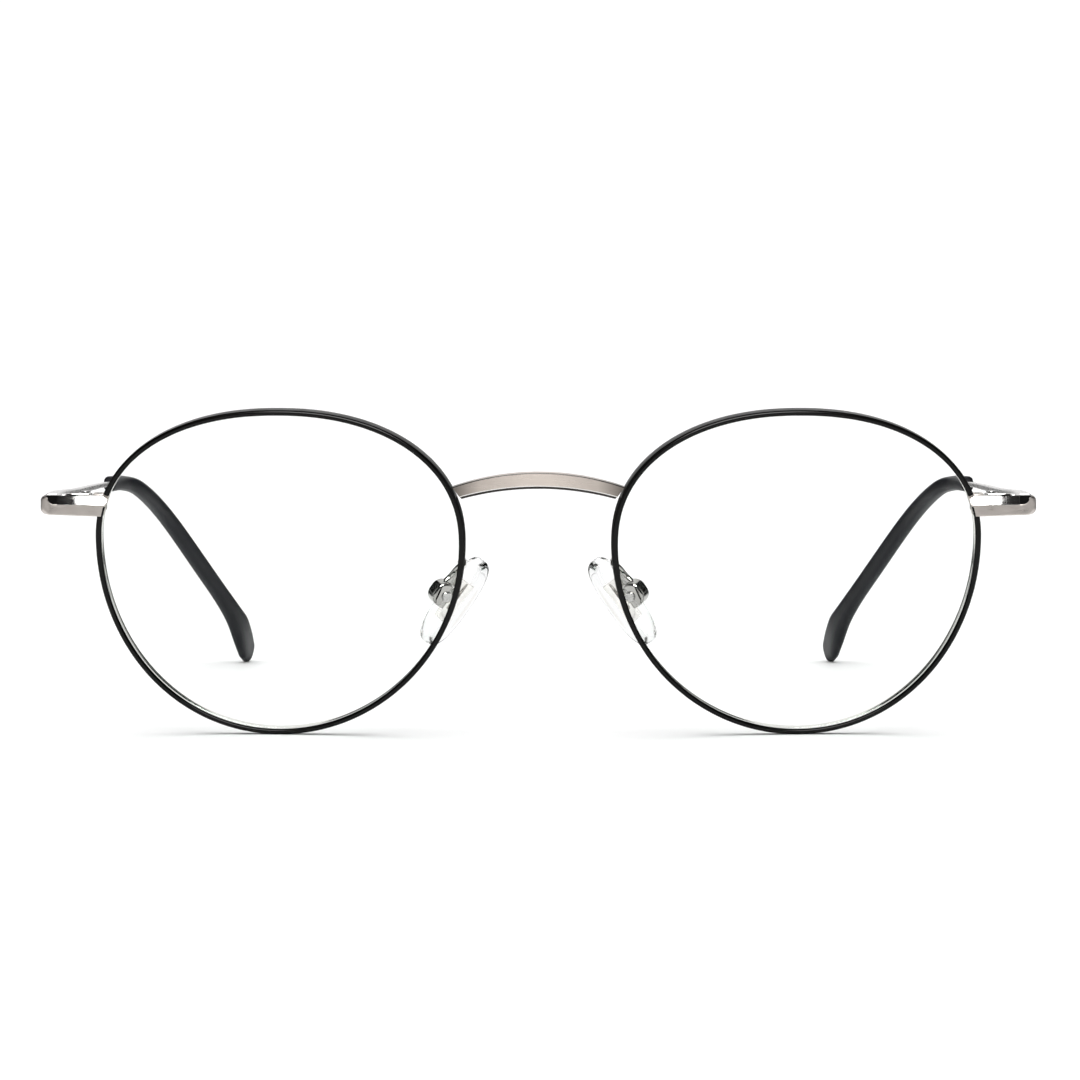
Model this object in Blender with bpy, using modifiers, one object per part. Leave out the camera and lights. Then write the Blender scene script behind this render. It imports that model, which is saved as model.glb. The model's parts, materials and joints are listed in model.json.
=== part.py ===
"""Round wire eyeglasses, standing open on a table: metres, +Z up, the lenses face -Y.

The origin is on the table, under the middle of the open glasses. Every piece is built for the side
at +X and mirrored for the side at -X. Lengths are millimetres times MM.
"""

from math import atan2, cos, pi, radians, sin, sqrt

import bmesh
import bpy
from mathutils import Euler, Matrix, Vector

MM = 0.001
RIGHT, LEFT = 1, -1
SIDES = {RIGHT: "right", LEFT: "left"}

# The glasses as a whole. Local y = 0 is the front edge of the rims' lowest points.
FRONT_Y = -61.12 * MM
PANTOSCOPIC_TILT = radians(8)
FACE_WRAP = radians(5)
GAP = 0.04 * MM

# Rims: the outline's widest height splits it into a flatter upper and a rounder lower half.
RIM_CENTRE = Vector((35.62, -2.86, 27.161)) * MM
RIM_HALF_WIDTH = 25.62 * MM
RIM_ABOVE = 18.34 * MM
RIM_BELOW = 27.31 * MM
RIM_POWER_ABOVE = 2.19
RIM_POWER_BELOW = 2.02
RIM_LEAN_BELOW = 0.65 * MM
RIM_STEPS = 64
RIM_FACE = 0.78 * MM
RIM_HALF_DEPTH = 1.2 * MM
RIM_CHAMFER = 0.13 * MM
GROOVE_DEPTH = 0.3 * MM
GROOVE_HALF_WIDTH = 0.42 * MM
SLIT_HEIGHT = 4.9 * MM
SLIT_HALF = 0.1 * MM

# Lenses: clear, with a V edge that sits in the rim's groove.
LENS_HALF_THICKNESS = 0.65 * MM
LENS_BULGE = 2.4 * MM
LENS_EDGE_CLEARANCE = 0.08 * MM
LENS_RINGS = (0.42, 0.78)

# Screw heads: the slot's width as a share of the head's, and its depth as a share of the head's height.
SLOT_WIDTH = 0.2
SLOT_DEPTH = 0.4

# Rim locks: the two halves of the closing block behind each rim, and the screw that closes them.
LOCK_LOW = Vector((24.5, 1.24, 0)) * MM
LOCK_HIGH = Vector((26.3, 2.9, 0)) * MM
LOCK_HEIGHT = 1.15 * MM
LOCK_SCREW_RADIUS = 0.4 * MM
LOCK_HEAD_RADIUS = 0.64 * MM
LOCK_HEAD_HEIGHT = 0.32 * MM
LOCK_CHAMFER = 0.15 * MM

# Bridge: an arched strip between the rims.
BRIDGE_TOP = 36.7 * MM
BRIDGE_HEIGHT = 2.28 * MM
BRIDGE_TOP_RADIUS = 35.3 * MM
BRIDGE_BOTTOM_RADIUS = 38.3 * MM
BRIDGE_END_TOP = 11.72 * MM
BRIDGE_END_BOTTOM = 10.98 * MM
BRIDGE_HALF_DEPTH = 0.75 * MM
BRIDGE_ROUNDING = 0.2 * MM
BRIDGE_Y = -6.05 * MM
BRIDGE_ARC_STEPS = 12

# End pieces: plan outline, from the rim round the outer corner to the joint with the temple.
END_INNER_X = 61.02 * MM
END_FRONT_Y = -2.5 * MM
END_BACK_Y = -0.62 * MM
END_OUTER_X = 68.95 * MM
END_LEG_INNER_X = 66.4 * MM
END_CORNER_RADIUS = 2.2 * MM
END_FILLET_RADIUS = 0.8 * MM
END_ROUNDING = 0.12 * MM
END_TAPER = 0.15 * MM
END_CENTRE_Z = 31.95 * MM
END_HALF_HEIGHT = 1.35 * MM
END_FACET_HEIGHT = 1.25 * MM
END_FACET_ANGLE = radians(24)

# Hinges: three knuckles on a vertical screw, at the joint between end piece and temple.
LEAF_HALF_WIDTH = 0.75 * MM
LEAF_THICKNESS = 0.6 * MM
LEAF_SETBACK = 1.0 * MM
TEMPLE_LEAF_THICKNESS = 0.65 * MM
TEMPLE_LEAF_LENGTH = 5.0 * MM
TEMPLE_LEAF_SHARE = 0.8
HINGE_X = 62.9 * MM
HINGE_Y = 1.95 * MM
HINGE_CENTRE_Z = 32.2 * MM
KNUCKLE_RADIUS = 0.95 * MM
KNUCKLE_HEIGHT = 0.84 * MM
HINGE_SCREW_RADIUS = 0.45 * MM
HINGE_HEAD_RADIUS = 0.72 * MM
HINGE_HEAD_HEIGHT = 0.26 * MM
RUNNING_CLEARANCE = 0.03 * MM

# Temples: centre line of each arm from the joint to the tip, then the sizes of its sections.
ARM_PATH = (
    (67.5, 1.98, 32.2),
    (67.38, 7.0, 32.45),
    (66.65, 13.0, 32.75),
    (66.35, 25.0, 32.6),
    (66.25, 60.0, 31.85),
    (65.8, 75.0, 31.45),
    (64.55, 85.0, 31.15),
    (62.4, 91.0, 29.9),
    (59.25, 101.0, 25.35),
    (54.3, 111.0, 16.8),
    (49.56, 121.0, 8.0),
    (47.73, 128.0, 1.85),
)
PATH_STEPS = 4
SLEEVE_START = 5
CORE_END = 10.5
WIRE_POWER = 5
WIRE_SIDES = 8
SLEEVE_POWER = 2.6
SLEEVE_SIDES = 12
SLEEVE_CLEARANCE = 0.06 * MM
BLIND_END = 0.3 * MM
# Half widths and half heights by place along the centre line, where 0 is its first point.
WIRE_WIDTH = ((0, 1.07), (1, 0.94), (2, 0.62), (4, 0.52), (5, 0.45), (6, 0.36), (10.5, 0.3))
WIRE_HEIGHT = ((0, 1.2), (1, 1.1), (2, 0.72), (3, 0.5), (4, 0.4), (5, 0.36), (10.5, 0.3))
SLEEVE_WIDTH = ((5, 0.92), (6, 0.98), (8, 1.1), (10, 1.15), (11, 0.95))
SLEEVE_HEIGHT = (
    (5, 1.2),
    (6, 1.15),
    (8, 1.3),
    (9, 1.38),
    (9.6, 1.45),
    (10, 1.88),
    (10.4, 2.85),
    (10.75, 2.98),
    (11, 2.21),
)
# Rounding of the sleeve's end: how far past the last point, and the share of its size left there.
SLEEVE_NOSE = ((0.6, 0.89), (0.97, 0.63), (1.15, 0.33))

# Nose pads: local axes are out of the pad's back (x), along its width (y) and along its length (z).
PAD_SCREW_CENTRE = Vector((13.2, 3.6, 19.3)) * MM
PAD_TOE_IN = radians(35)
PAD_SPLAY = radians(25)
PAD_MIDDLE = -2.1 * MM
PAD_HALF_LENGTH = 7.0 * MM
PAD_HALF_WIDTH = 3.7 * MM
PAD_HALF_THICKNESS = 1.1 * MM
PAD_ROUNDING = 0.55 * MM
PAD_POWER = 2.3
PAD_STEPS = 32
INSERT_HALF = Vector((0.25, 1.75, 3.25)) * MM
LUG_HALF_WIDTH = 0.5 * MM
LUG_HALF_LENGTH = 0.8 * MM
LUG_END = 0.75 * MM
LUG_CLEARANCE = 0.06 * MM
BOX_MOUTH = -0.68 * MM
BOX_BACK = 1.85 * MM
BOX_HALF_WIDTH = 1.3 * MM
BOX_HALF_LENGTH = 1.8 * MM
BOX_WALL = 0.5 * MM
BOX_FLOOR = 0.7 * MM
BOX_BACK_RADIUS = 1.4 * MM
BOX_MOUTH_RADIUS = 0.3 * MM
BOX_ROUNDING = 0.25 * MM
PAD_SCREW_RADIUS = 0.4 * MM
PAD_HEAD_RADIUS = 0.75 * MM
PAD_HEAD_HEIGHT = 0.32 * MM
# Pad arms: where each leaves its rim, its bend, and its half width by place along it.
PAD_ARM_ANGLE = radians(186.8)
PAD_ARM_RUN = 0.95 * MM
PAD_ARM_BEND = ((10.42, -0.4, 23.9), (10.55, 1.4, 23.45), (11.15, 2.75, 22.75))
PAD_ARM_SEAT = 0.3 * MM
PAD_ARM_THICKNESS = 1.1 * MM
PAD_ARM_WIDTH = ((0, 0.55), (3, 0.58), (5, 0.8), (6, 1.05))

COLORS = {
    "black_lacquer": ((0.015, 0.015, 0.017), 0.18, 0.0),
    "satin_silver": ((0.55, 0.52, 0.49), 0.38, 1.0),
    "polished_silver": ((0.72, 0.71, 0.70), 0.12, 1.0),
    "screw_steel": ((0.60, 0.60, 0.60), 0.25, 1.0),
    "black_acetate": ((0.014, 0.014, 0.018), 0.35, 0.0),
    "clear_lens": ((0.96, 0.98, 0.98), 0.03, 0.0),
    "clear_pad": ((0.93, 0.94, 0.94), 0.15, 0.0),
}


def clear_scene():
    for item in list(bpy.data.objects):
        bpy.data.objects.remove(item, do_unlink=True)


def new_collection(name, shown=True):
    made = bpy.data.collections.new(name)
    made.hide_render = not shown
    bpy.context.scene.collection.children.link(made)
    return made


def material(name, color_key):
    color, roughness, metallic = COLORS[color_key]
    made = bpy.data.materials.new(name)
    made.use_nodes = True
    shader = made.node_tree.nodes["Principled BSDF"]
    shader.inputs["Base Color"].default_value = (*color, 1)
    shader.inputs["Roughness"].default_value = roughness
    shader.inputs["Metallic"].default_value = metallic
    if color_key.startswith("clear"):
        shader.inputs["Transmission Weight"].default_value = 1
    return made


def empty(name, parent, location, rotation=(0, 0, 0)):
    made = bpy.data.objects.new(name, None)
    made.empty_display_size = 2 * MM
    made.parent = parent
    made.location = location
    made.rotation_euler = rotation
    PARTS.objects.link(made)
    return made


def add(name, mesh, parent, color_key, side=RIGHT):
    """A part in its parent's frame, mirrored in x for the side at -X."""
    if side == LEFT:
        mesh.transform(Matrix.Scale(-1, 4, (1, 0, 0)))
        mesh.flip_normals()
    mesh.name = name
    mesh.shade_smooth()
    mesh.set_sharp_from_angle(angle=radians(32))
    mesh.materials.clear()
    mesh.materials.append(material(name, color_key))
    made = bpy.data.objects.new(name, mesh)
    made.parent = parent
    PARTS.objects.link(made)
    return made


def cut(part, tool_mesh, side=RIGHT, operation="DIFFERENCE"):
    """Cuts a tool away from the part, or joins it on; the tool is in the part's own frame."""
    if side == LEFT:
        tool_mesh.transform(Matrix.Scale(-1, 4, (1, 0, 0)))
        tool_mesh.flip_normals()
    tool = bpy.data.objects.new(part.name + "_tool", tool_mesh)
    tool.parent = part.parent
    tool.hide_render = True
    tool.display_type = "WIRE"
    CUTTERS.objects.link(tool)
    step = part.modifiers.new(operation.title(), "BOOLEAN")
    step.operation = operation
    step.object = tool
    step.solver = "EXACT"


def join(part, tool_mesh, side=RIGHT):
    cut(part, tool_mesh, side, "UNION")


def bevel(part, width, segments=1):
    step = part.modifiers.new("Bevel", "BEVEL")
    step.width = width
    step.segments = segments
    step.limit_method = "ANGLE"
    step.angle_limit = radians(40)


def mesh_of(builder):
    """A mesh filled by a function that takes a bmesh."""
    shape = bmesh.new()
    builder(shape)
    bmesh.ops.recalc_face_normals(shape, faces=shape.faces)
    mesh = bpy.data.meshes.new("mesh")
    shape.to_mesh(mesh)
    shape.free()
    return mesh


def box(low, high):
    """A box between two corners."""
    low = Vector(low)
    high = Vector(high)
    place = Matrix.Translation((low + high) / 2) @ Matrix.Diagonal((*(high - low), 1))
    return mesh_of(lambda shape: bmesh.ops.create_cube(shape, size=1, matrix=place))


def cylinder(radius, start, end, sides=20):
    """A round bar from one point to another."""
    start = Vector(start)
    run = Vector(end) - start
    place = Matrix.Translation(start + run / 2) @ run.to_track_quat("Z", "Y").to_matrix().to_4x4()
    return mesh_of(
        lambda shape: bmesh.ops.create_cone(
            shape,
            cap_ends=True,
            segments=sides,
            radius1=radius,
            radius2=radius,
            depth=run.length,
            matrix=place,
        )
    )


def curve_mesh(points, dimensions="2D", closed=False, **settings):
    """The mesh of a POLY curve, with its caps welded on."""
    curve = bpy.data.curves.new("curve", "CURVE")
    curve.dimensions = dimensions
    spline = curve.splines.new("POLY")
    spline.points.add(len(points) - 1)
    for point, place in zip(spline.points, points):
        point.co = (*Vector(place).to_3d(), 1)
    spline.use_cyclic_u = closed
    for key, value in settings.items():
        setattr(curve, key, value)
    guide = bpy.data.objects.new("guide", curve)
    bpy.context.scene.collection.objects.link(guide)
    graph = bpy.context.evaluated_depsgraph_get()
    mesh = bpy.data.meshes.new_from_object(guide.evaluated_get(graph))
    bpy.data.objects.remove(guide)
    shape = bmesh.new()
    shape.from_mesh(mesh)
    bmesh.ops.remove_doubles(shape, verts=shape.verts, dist=0.0005 * MM)
    bmesh.ops.recalc_face_normals(shape, faces=shape.faces)
    shape.to_mesh(mesh)
    shape.free()
    return mesh


def plate(outline, half_thickness, rounding=0):
    """A flat outline in x and y, thickened along z, with its edges rounded inside the outline."""
    return curve_mesh(
        outline,
        closed=True,
        fill_mode="BOTH",
        extrude=half_thickness - rounding,
        bevel_depth=rounding,
        bevel_resolution=1,
        offset=-rounding,
    )


def loft(rings, closed_ring=False):
    """A skin through rings of points, each as long as the next, capped unless it closes on itself."""

    def build(shape):
        made = [[shape.verts.new(point) for point in ring] for ring in rings]
        following = made[1:] + (made[:1] if closed_ring else [])
        for ring, after in zip(made, following):
            for i in range(len(ring)):
                j = (i + 1) % len(ring)
                shape.faces.new((ring[i], ring[j], after[j], after[i]))
        if not closed_ring:
            shape.faces.new(made[0])
            shape.faces.new(made[-1])

    return mesh_of(build)


def arc(centre, radius, start, end, steps):
    """Points on an arc, from the angle start to the angle end."""
    turns = [start + (end - start) * i / steps for i in range(steps + 1)]
    return [Vector((centre[0] + radius * cos(a), centre[1] + radius * sin(a))) for a in turns]


def smooth_path(points, steps):
    """A Catmull-Rom curve through the points, with this many steps to each stretch."""
    ends = [2 * points[0] - points[1], *points, 2 * points[-1] - points[-2]]
    path = []
    for before, start, end, after in zip(ends, ends[1:], ends[2:], ends[3:]):
        for step in range(steps):
            t = step / steps
            path.append(
                0.5
                * (
                    2 * start
                    + (end - before) * t
                    + (2 * before - 5 * start + 4 * end - after) * t**2
                    + (3 * start - before - 3 * end + after) * t**3
                )
            )
    return [*path, points[-1]]


def superellipse(angle, half_width, half_height, power):
    across = abs(cos(angle)) ** (2 / power) * half_width
    up = abs(sin(angle)) ** (2 / power) * half_height
    return Vector((across if cos(angle) > 0 else -across, up if sin(angle) > 0 else -up))


def rim_point(angle, inset=0.0):
    """A point of the rim's outline in its plane: x towards the temple, y up. inset is inwards."""

    def on_outline(turn):
        if sin(turn) > 0:
            return superellipse(turn, RIM_HALF_WIDTH, RIM_ABOVE, RIM_POWER_ABOVE)
        point = superellipse(turn, RIM_HALF_WIDTH, RIM_BELOW, RIM_POWER_BELOW)
        point.x += RIM_LEAN_BELOW * (point.y / RIM_BELOW) ** 2
        return point

    nudge = radians(0.5)
    along = (on_outline(angle + nudge) - on_outline(angle - nudge)).normalized()
    return on_outline(angle) + Vector((-along.y, along.x)) * inset


def rim_angles():
    """One angle to each step, with a step's flat exactly at the bottom."""
    return [2 * pi * (i + 0.5) / RIM_STEPS for i in range(RIM_STEPS)]


def slit_angle(height):
    """The angle at which the outline's temple side is this high above its widest point."""
    rise = (height / RIM_ABOVE) ** RIM_POWER_ABOVE
    return atan2(sqrt(rise), sqrt(1 - rise))


def rim_section():
    """Section of the rim wire: x inwards from its outer wall, y across its depth."""
    wall = RIM_FACE
    deep = RIM_HALF_DEPTH
    edge = RIM_CHAMFER
    half = [
        (wall - GROOVE_DEPTH, 0),
        (wall, GROOVE_HALF_WIDTH),
        (wall, deep - edge),
        (wall - edge, deep),
        (edge, deep),
        (0, deep - edge),
    ]
    return half + [(x, -y) for x, y in reversed(half[1:])]


def rim(side, frame):
    """An open ring of grooved wire, split where the lock closes it."""
    start = slit_angle(SLIT_HEIGHT + SLIT_HALF)
    end = slit_angle(SLIT_HEIGHT - SLIT_HALF) + 2 * pi
    spare = pi / RIM_STEPS / 2
    turns = [a + lap for lap in (0, 2 * pi) for a in rim_angles()]
    turns = [start, *(a for a in turns if start + spare < a < end - spare), end]
    rings = []
    for turn in turns:
        outer = rim_point(turn)
        inward = (rim_point(turn, RIM_FACE) - outer) / RIM_FACE
        flat = [(outer + inward * x, y) for x, y in rim_section()]
        rings.append([Vector((point.x, y, point.y)) for point, y in flat])
    add("rim_" + SIDES[side], loft(rings), frame, "black_lacquer", side)


def lens(side, frame):
    """A curved lens with a V edge, from the middle of its front to the middle of its back."""
    edge = RIM_FACE + LENS_EDGE_CLEARANCE
    bevel_half = GROOVE_HALF_WIDTH - LENS_EDGE_CLEARANCE
    apex = RIM_FACE - GROOVE_DEPTH + LENS_EDGE_CLEARANCE
    middle = Vector((0, (RIM_ABOVE - RIM_BELOW) / 2))

    def ring(share, depth, inset=edge):
        flat = [middle + (rim_point(a, inset) - middle) * share for a in rim_angles()]
        bulge = LENS_BULGE * (1 - share**2)
        return [Vector((point.x, depth - bulge, point.y)) for point in flat]

    thick = LENS_HALF_THICKNESS
    rings = [ring(share, -thick) for share in (*LENS_RINGS, 1)]
    rings += [ring(1, -bevel_half), ring(1, 0, apex), ring(1, bevel_half)]
    rings += [ring(share, thick) for share in (1, *reversed(LENS_RINGS))]
    add("lens_" + SIDES[side], loft(rings), frame, "clear_lens", side)


def screw(name, frame, side, start, end, radius, head_radius, head_height):
    """A slotted screw: the head is before start, and the shank runs from start to end."""
    start = Vector(start)
    end = Vector(end)
    run = (end - start).normalized()
    shank = cylinder(radius, start - run * head_height / 2, end)
    part = add(name, shank, frame, "screw_steel", side)
    join(part, cylinder(head_radius, start - run * head_height, start), side)
    half = Vector((head_radius * 1.2, head_radius * SLOT_WIDTH, head_height * SLOT_DEPTH))
    slot = box(-half, half)
    turned = run.to_track_quat("Z", "Y").to_matrix().to_4x4()
    slot.transform(Matrix.Translation(start - run * head_height) @ turned)
    cut(part, slot, side)
    return part


def rim_lock(side, frame):
    """Two blocks behind the rim, one to each end of its wire, and the screw that pulls them together."""
    low = LOCK_LOW.copy()
    high = LOCK_HIGH.copy()
    middle = (low + high) / 2
    hole = LOCK_SCREW_RADIUS + RUNNING_CLEARANCE
    below = SLIT_HEIGHT - SLIT_HALF - LOCK_HEIGHT
    above = SLIT_HEIGHT + SLIT_HALF
    bottom = (middle.x, middle.y, below - GAP)
    top = (middle.x, middle.y, above + LOCK_HEIGHT + GAP)
    for name, z in (("lower", below), ("upper", above)):
        low.z = z
        high.z = z + LOCK_HEIGHT
        block = add(f"rim_lock_{name}_{SIDES[side]}", box(low, high), frame, "satin_silver", side)
        bevel(block, LOCK_CHAMFER)
        cut(block, cylinder(hole, bottom, top), side)
    name = "rim_lock_screw_" + SIDES[side]
    screw(name, frame, side, bottom, top, LOCK_SCREW_RADIUS, LOCK_HEAD_RADIUS, LOCK_HEAD_HEIGHT)


def bridge(root):
    """An arched strip, drawn in its own plane and tilted with the rims."""

    def arch(radius, half_span, top):
        reach = atan2(half_span, sqrt(radius**2 - half_span**2))
        return arc((0, top - radius), radius, pi / 2 + reach, pi / 2 - reach, BRIDGE_ARC_STEPS)

    upper = arch(BRIDGE_TOP_RADIUS, BRIDGE_END_TOP, BRIDGE_HEIGHT / 2)
    lower = arch(BRIDGE_BOTTOM_RADIUS, BRIDGE_END_BOTTOM, -BRIDGE_HEIGHT / 2)
    strip = plate(upper + lower[::-1], BRIDGE_HALF_DEPTH, BRIDGE_ROUNDING)
    height = BRIDGE_TOP - BRIDGE_HEIGHT / 2
    frame = empty("bridge_frame", root, (0, BRIDGE_Y, height), (pi / 2 + PANTOSCOPIC_TILT, 0, 0))
    add("bridge", strip, frame, "satin_silver")


def end_piece(side, root):
    """A solid corner from the rim to the temple, with a long facet along the top of its face."""
    joint = HINGE_Y - GAP / 2
    wrap = FACE_WRAP
    outer = END_CORNER_RADIUS
    run = END_OUTER_X - outer - END_INNER_X
    centre = (END_OUTER_X - outer, END_FRONT_Y + outer + run * sin(wrap))
    fillet = (END_LEG_INNER_X - END_FILLET_RADIUS, END_BACK_Y + END_FILLET_RADIUS)
    outline = [
        Vector((END_INNER_X, END_FRONT_Y)),
        *arc(centre, outer, wrap - pi / 2, radians(4), 8),
        Vector((END_OUTER_X - END_TAPER, joint)),
        Vector((END_LEG_INNER_X, joint)),
        *arc(fillet, END_FILLET_RADIUS, 0, -pi / 2, 4),
        Vector((END_INNER_X, END_BACK_Y)),
    ]
    corner = plate(outline, END_HALF_HEIGHT, END_ROUNDING)
    corner.transform(Matrix.Translation((0, 0, END_CENTRE_Z)))
    part = add("end_piece_" + SIDES[side], corner, root, "satin_silver", side)
    facet = box((-MM, -2 * MM, 0), (END_OUTER_X - END_INNER_X + MM, 0, 2 * END_FACET_HEIGHT))
    facet.transform(Matrix.Rotation(wrap, 4, "Z") @ Matrix.Rotation(-END_FACET_ANGLE, 4, "X"))
    edge = END_CENTRE_Z + END_HALF_HEIGHT - END_FACET_HEIGHT
    facet.transform(Matrix.Translation((END_INNER_X, END_FRONT_Y, edge)))
    cut(part, facet, side)


def knuckle(level):
    """A short round bar on the hinge's axis, at level -1, 0 or 1 of its three."""
    middle = level * (KNUCKLE_HEIGHT + GAP)
    half = KNUCKLE_HEIGHT / 2
    return cylinder(KNUCKLE_RADIUS, (0, 0, middle - half), (0, 0, middle + half), 24)


def hinge(side, frame, axis):
    """Front leaf with two knuckles, temple leaf with one, and the screw through all three."""
    tall = 1.5 * KNUCKLE_HEIGHT + GAP
    hole = cylinder(HINGE_SCREW_RADIUS + RUNNING_CLEARANCE, (0, 0, -3 * MM), (0, 0, 3 * MM))
    base_front = END_BACK_Y + GAP - HINGE_Y
    half = LEAF_HALF_WIDTH
    low = (-half, base_front, -tall)
    high = (END_LEG_INNER_X - HINGE_X - LEAF_SETBACK, base_front + LEAF_THICKNESS, tall)
    leaf = add("hinge_front_" + SIDES[side], box(low, high), frame, "polished_silver", side)
    for level in (-1, 1):
        middle = level * (KNUCKLE_HEIGHT + GAP)
        low = (-half, base_front + LEAF_THICKNESS / 2, middle - KNUCKLE_HEIGHT / 2)
        high = (half, 0, middle + KNUCKLE_HEIGHT / 2)
        join(leaf, box(low, high), side)
        join(leaf, knuckle(level), side)
    cut(leaf, hole.copy(), side)

    inner = END_LEG_INNER_X - HINGE_X - GAP
    low = (inner - TEMPLE_LEAF_THICKNESS, GAP, -tall * TEMPLE_LEAF_SHARE)
    high = (inner, TEMPLE_LEAF_LENGTH, tall * TEMPLE_LEAF_SHARE)
    moving = add("hinge_temple_" + SIDES[side], box(low, high), axis, "polished_silver", side)
    low = (0, GAP, -KNUCKLE_HEIGHT / 2)
    high = (inner - TEMPLE_LEAF_THICKNESS / 2, KNUCKLE_RADIUS - GAP, KNUCKLE_HEIGHT / 2)
    join(moving, box(low, high), side)
    join(moving, knuckle(0), side)
    cut(moving, hole.copy(), side)

    top = (0, 0, tall + GAP)
    name = "hinge_screw_" + SIDES[side]
    bottom = (0, 0, -tall)
    screw(name, frame, side, top, bottom, HINGE_SCREW_RADIUS, HINGE_HEAD_RADIUS, HINGE_HEAD_HEIGHT)


def arm_stations():
    """Places along the arm: centre, and the directions across and up its section."""
    path = smooth_path([Vector(point) * MM for point in ARM_PATH], PATH_STEPS)
    stations = []
    for i, centre in enumerate(path):
        along = (path[min(i + 1, len(path) - 1)] - path[max(i - 1, 0)]).normalized()
        if i == 0:
            along = Vector((0, 1, 0))
        across = along.cross(Vector((0, 0, 1))).normalized()
        stations.append((i / PATH_STEPS, centre, across, across.cross(along)))
    return stations


def between(values, place):
    """The value at this place along a row of (place, value) pairs."""
    for (start, first), (end, last) in zip(values, values[1:]):
        if place <= end:
            return first + (last - first) * (place - start) / (end - start)
    return values[-1][1]


def section(centre, across, up, half_width, half_height, power, sides):
    """A rounded section: power 2 is an ellipse, and a larger one is squarer."""
    turns = [2 * pi * (i + 0.5) / sides for i in range(sides)]
    flat = [superellipse(turn, half_width, half_height, power) for turn in turns]
    return [centre + across * point.x + up * point.y for point in flat]


def arm_ring(station, widths, heights, power, sides, grow=0.0, share=1.0):
    place, centre, across, up = station
    half_width = between(widths, place) * MM * share + grow
    half_height = between(heights, place) * MM * share + grow
    return section(centre, across, up, half_width, half_height, power, sides)


def temple(side, axis, hinge_centre):
    """The metal arm: block at the joint, thinning bar, and the core inside the sleeve."""
    stations = [s for s in arm_stations() if s[0] <= CORE_END]
    rings = [arm_ring(s, WIRE_WIDTH, WIRE_HEIGHT, WIRE_POWER, WIRE_SIDES) for s in stations]
    mesh = loft(rings)
    mesh.transform(Matrix.Translation(-hinge_centre))
    add("temple_" + SIDES[side], mesh, axis, "satin_silver", side)


def temple_tip(side, axis, hinge_centre):
    """The sleeve over the arm's end: outer skin, rounded tip, and a blind bore for the core."""
    stations = [s for s in arm_stations() if s[0] >= SLEEVE_START]
    outer = [arm_ring(s, SLEEVE_WIDTH, SLEEVE_HEIGHT, SLEEVE_POWER, SLEEVE_SIDES) for s in stations]
    place, centre, across, up = stations[-1]
    along = up.cross(across)
    for forward, share in SLEEVE_NOSE:
        ahead = (place, centre + along * forward * MM, across, up)
        sizes = (SLEEVE_WIDTH, SLEEVE_HEIGHT, SLEEVE_POWER, SLEEVE_SIDES)
        outer.append(arm_ring(ahead, *sizes, share=share))
    within = [s for s in stations if s[0] <= CORE_END]
    place, centre, across, up = within[-1]
    within.append((place, centre + up.cross(across) * BLIND_END, across, up))
    sizes = (WIRE_WIDTH, WIRE_HEIGHT, WIRE_POWER, SLEEVE_SIDES, SLEEVE_CLEARANCE)
    bore = [arm_ring(s, *sizes) for s in within]
    mesh = loft(outer[::-1] + bore)
    mesh.transform(Matrix.Translation(-hinge_centre))
    add("temple_tip_" + SIDES[side], mesh, axis, "black_acetate", side)


def pad_rotation():
    """Turns local x to the pad's back, y to the rear along its width, z up along its length."""
    return (Matrix.Rotation(-PAD_TOE_IN, 3, "Y") @ Matrix.Rotation(-PAD_SPLAY, 3, "Z")).to_euler()


def pad_arm(side, root):
    """The bent wire from the back of the rim to a wider foot on top of the pad's box."""
    rim_turn = Euler((PANTOSCOPIC_TILT, 0, FACE_WRAP)).to_matrix()
    pad_turn = pad_rotation().to_matrix()
    start = rim_point(PAD_ARM_ANGLE, RIM_FACE / 2)

    def off_rim(reach):
        return RIM_CENTRE + rim_turn @ Vector((start.x, RIM_HALF_DEPTH + reach, start.y))

    def off_box(reach):
        top = Vector((PAD_ARM_SEAT, 0, BOX_HALF_LENGTH + reach))
        return PAD_SCREW_CENTRE + pad_turn @ top

    bend = [Vector(point) * MM for point in PAD_ARM_BEND]
    points = [off_rim(GAP), off_rim(PAD_ARM_RUN), *bend, off_box(PAD_ARM_RUN), off_box(GAP)]
    path = smooth_path(points, PATH_STEPS)
    runs = [after - before for before, after in zip(path, path[2:])]
    # The ends are square to the faces they meet.
    runs = [points[1] - points[0], *runs, points[-1] - points[-2]]
    across = Vector((1, 0, 0))
    rings = []
    for i, (centre, run) in enumerate(zip(path, runs)):
        along = run.normalized()
        across = (across - along * across.dot(along)).normalized()
        half_width = between(PAD_ARM_WIDTH, i / PATH_STEPS) * MM
        up = across.cross(along)
        rings.append(section(centre, across, up, half_width, PAD_ARM_THICKNESS / 2, 2, WIRE_SIDES + 4))
    add("pad_arm_" + SIDES[side], loft(rings), root, "polished_silver", side)


def box_outline():
    """The box seen along its screw, as points of x and z: nearly square at the mouth, round at the back."""
    back = (BOX_BACK - BOX_BACK_RADIUS, BOX_HALF_LENGTH - BOX_BACK_RADIUS)
    mouth = (BOX_MOUTH + BOX_MOUTH_RADIUS, BOX_HALF_LENGTH - BOX_MOUTH_RADIUS)
    return [
        *arc((back[0], -back[1]), BOX_BACK_RADIUS, -pi / 2, 0, 5),
        *arc(back, BOX_BACK_RADIUS, 0, pi / 2, 5),
        *arc(mouth, BOX_MOUTH_RADIUS, pi / 2, pi, 2),
        *arc((mouth[0], -mouth[1]), BOX_MOUTH_RADIUS, pi, 3 * pi / 2, 2),
    ]


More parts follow.
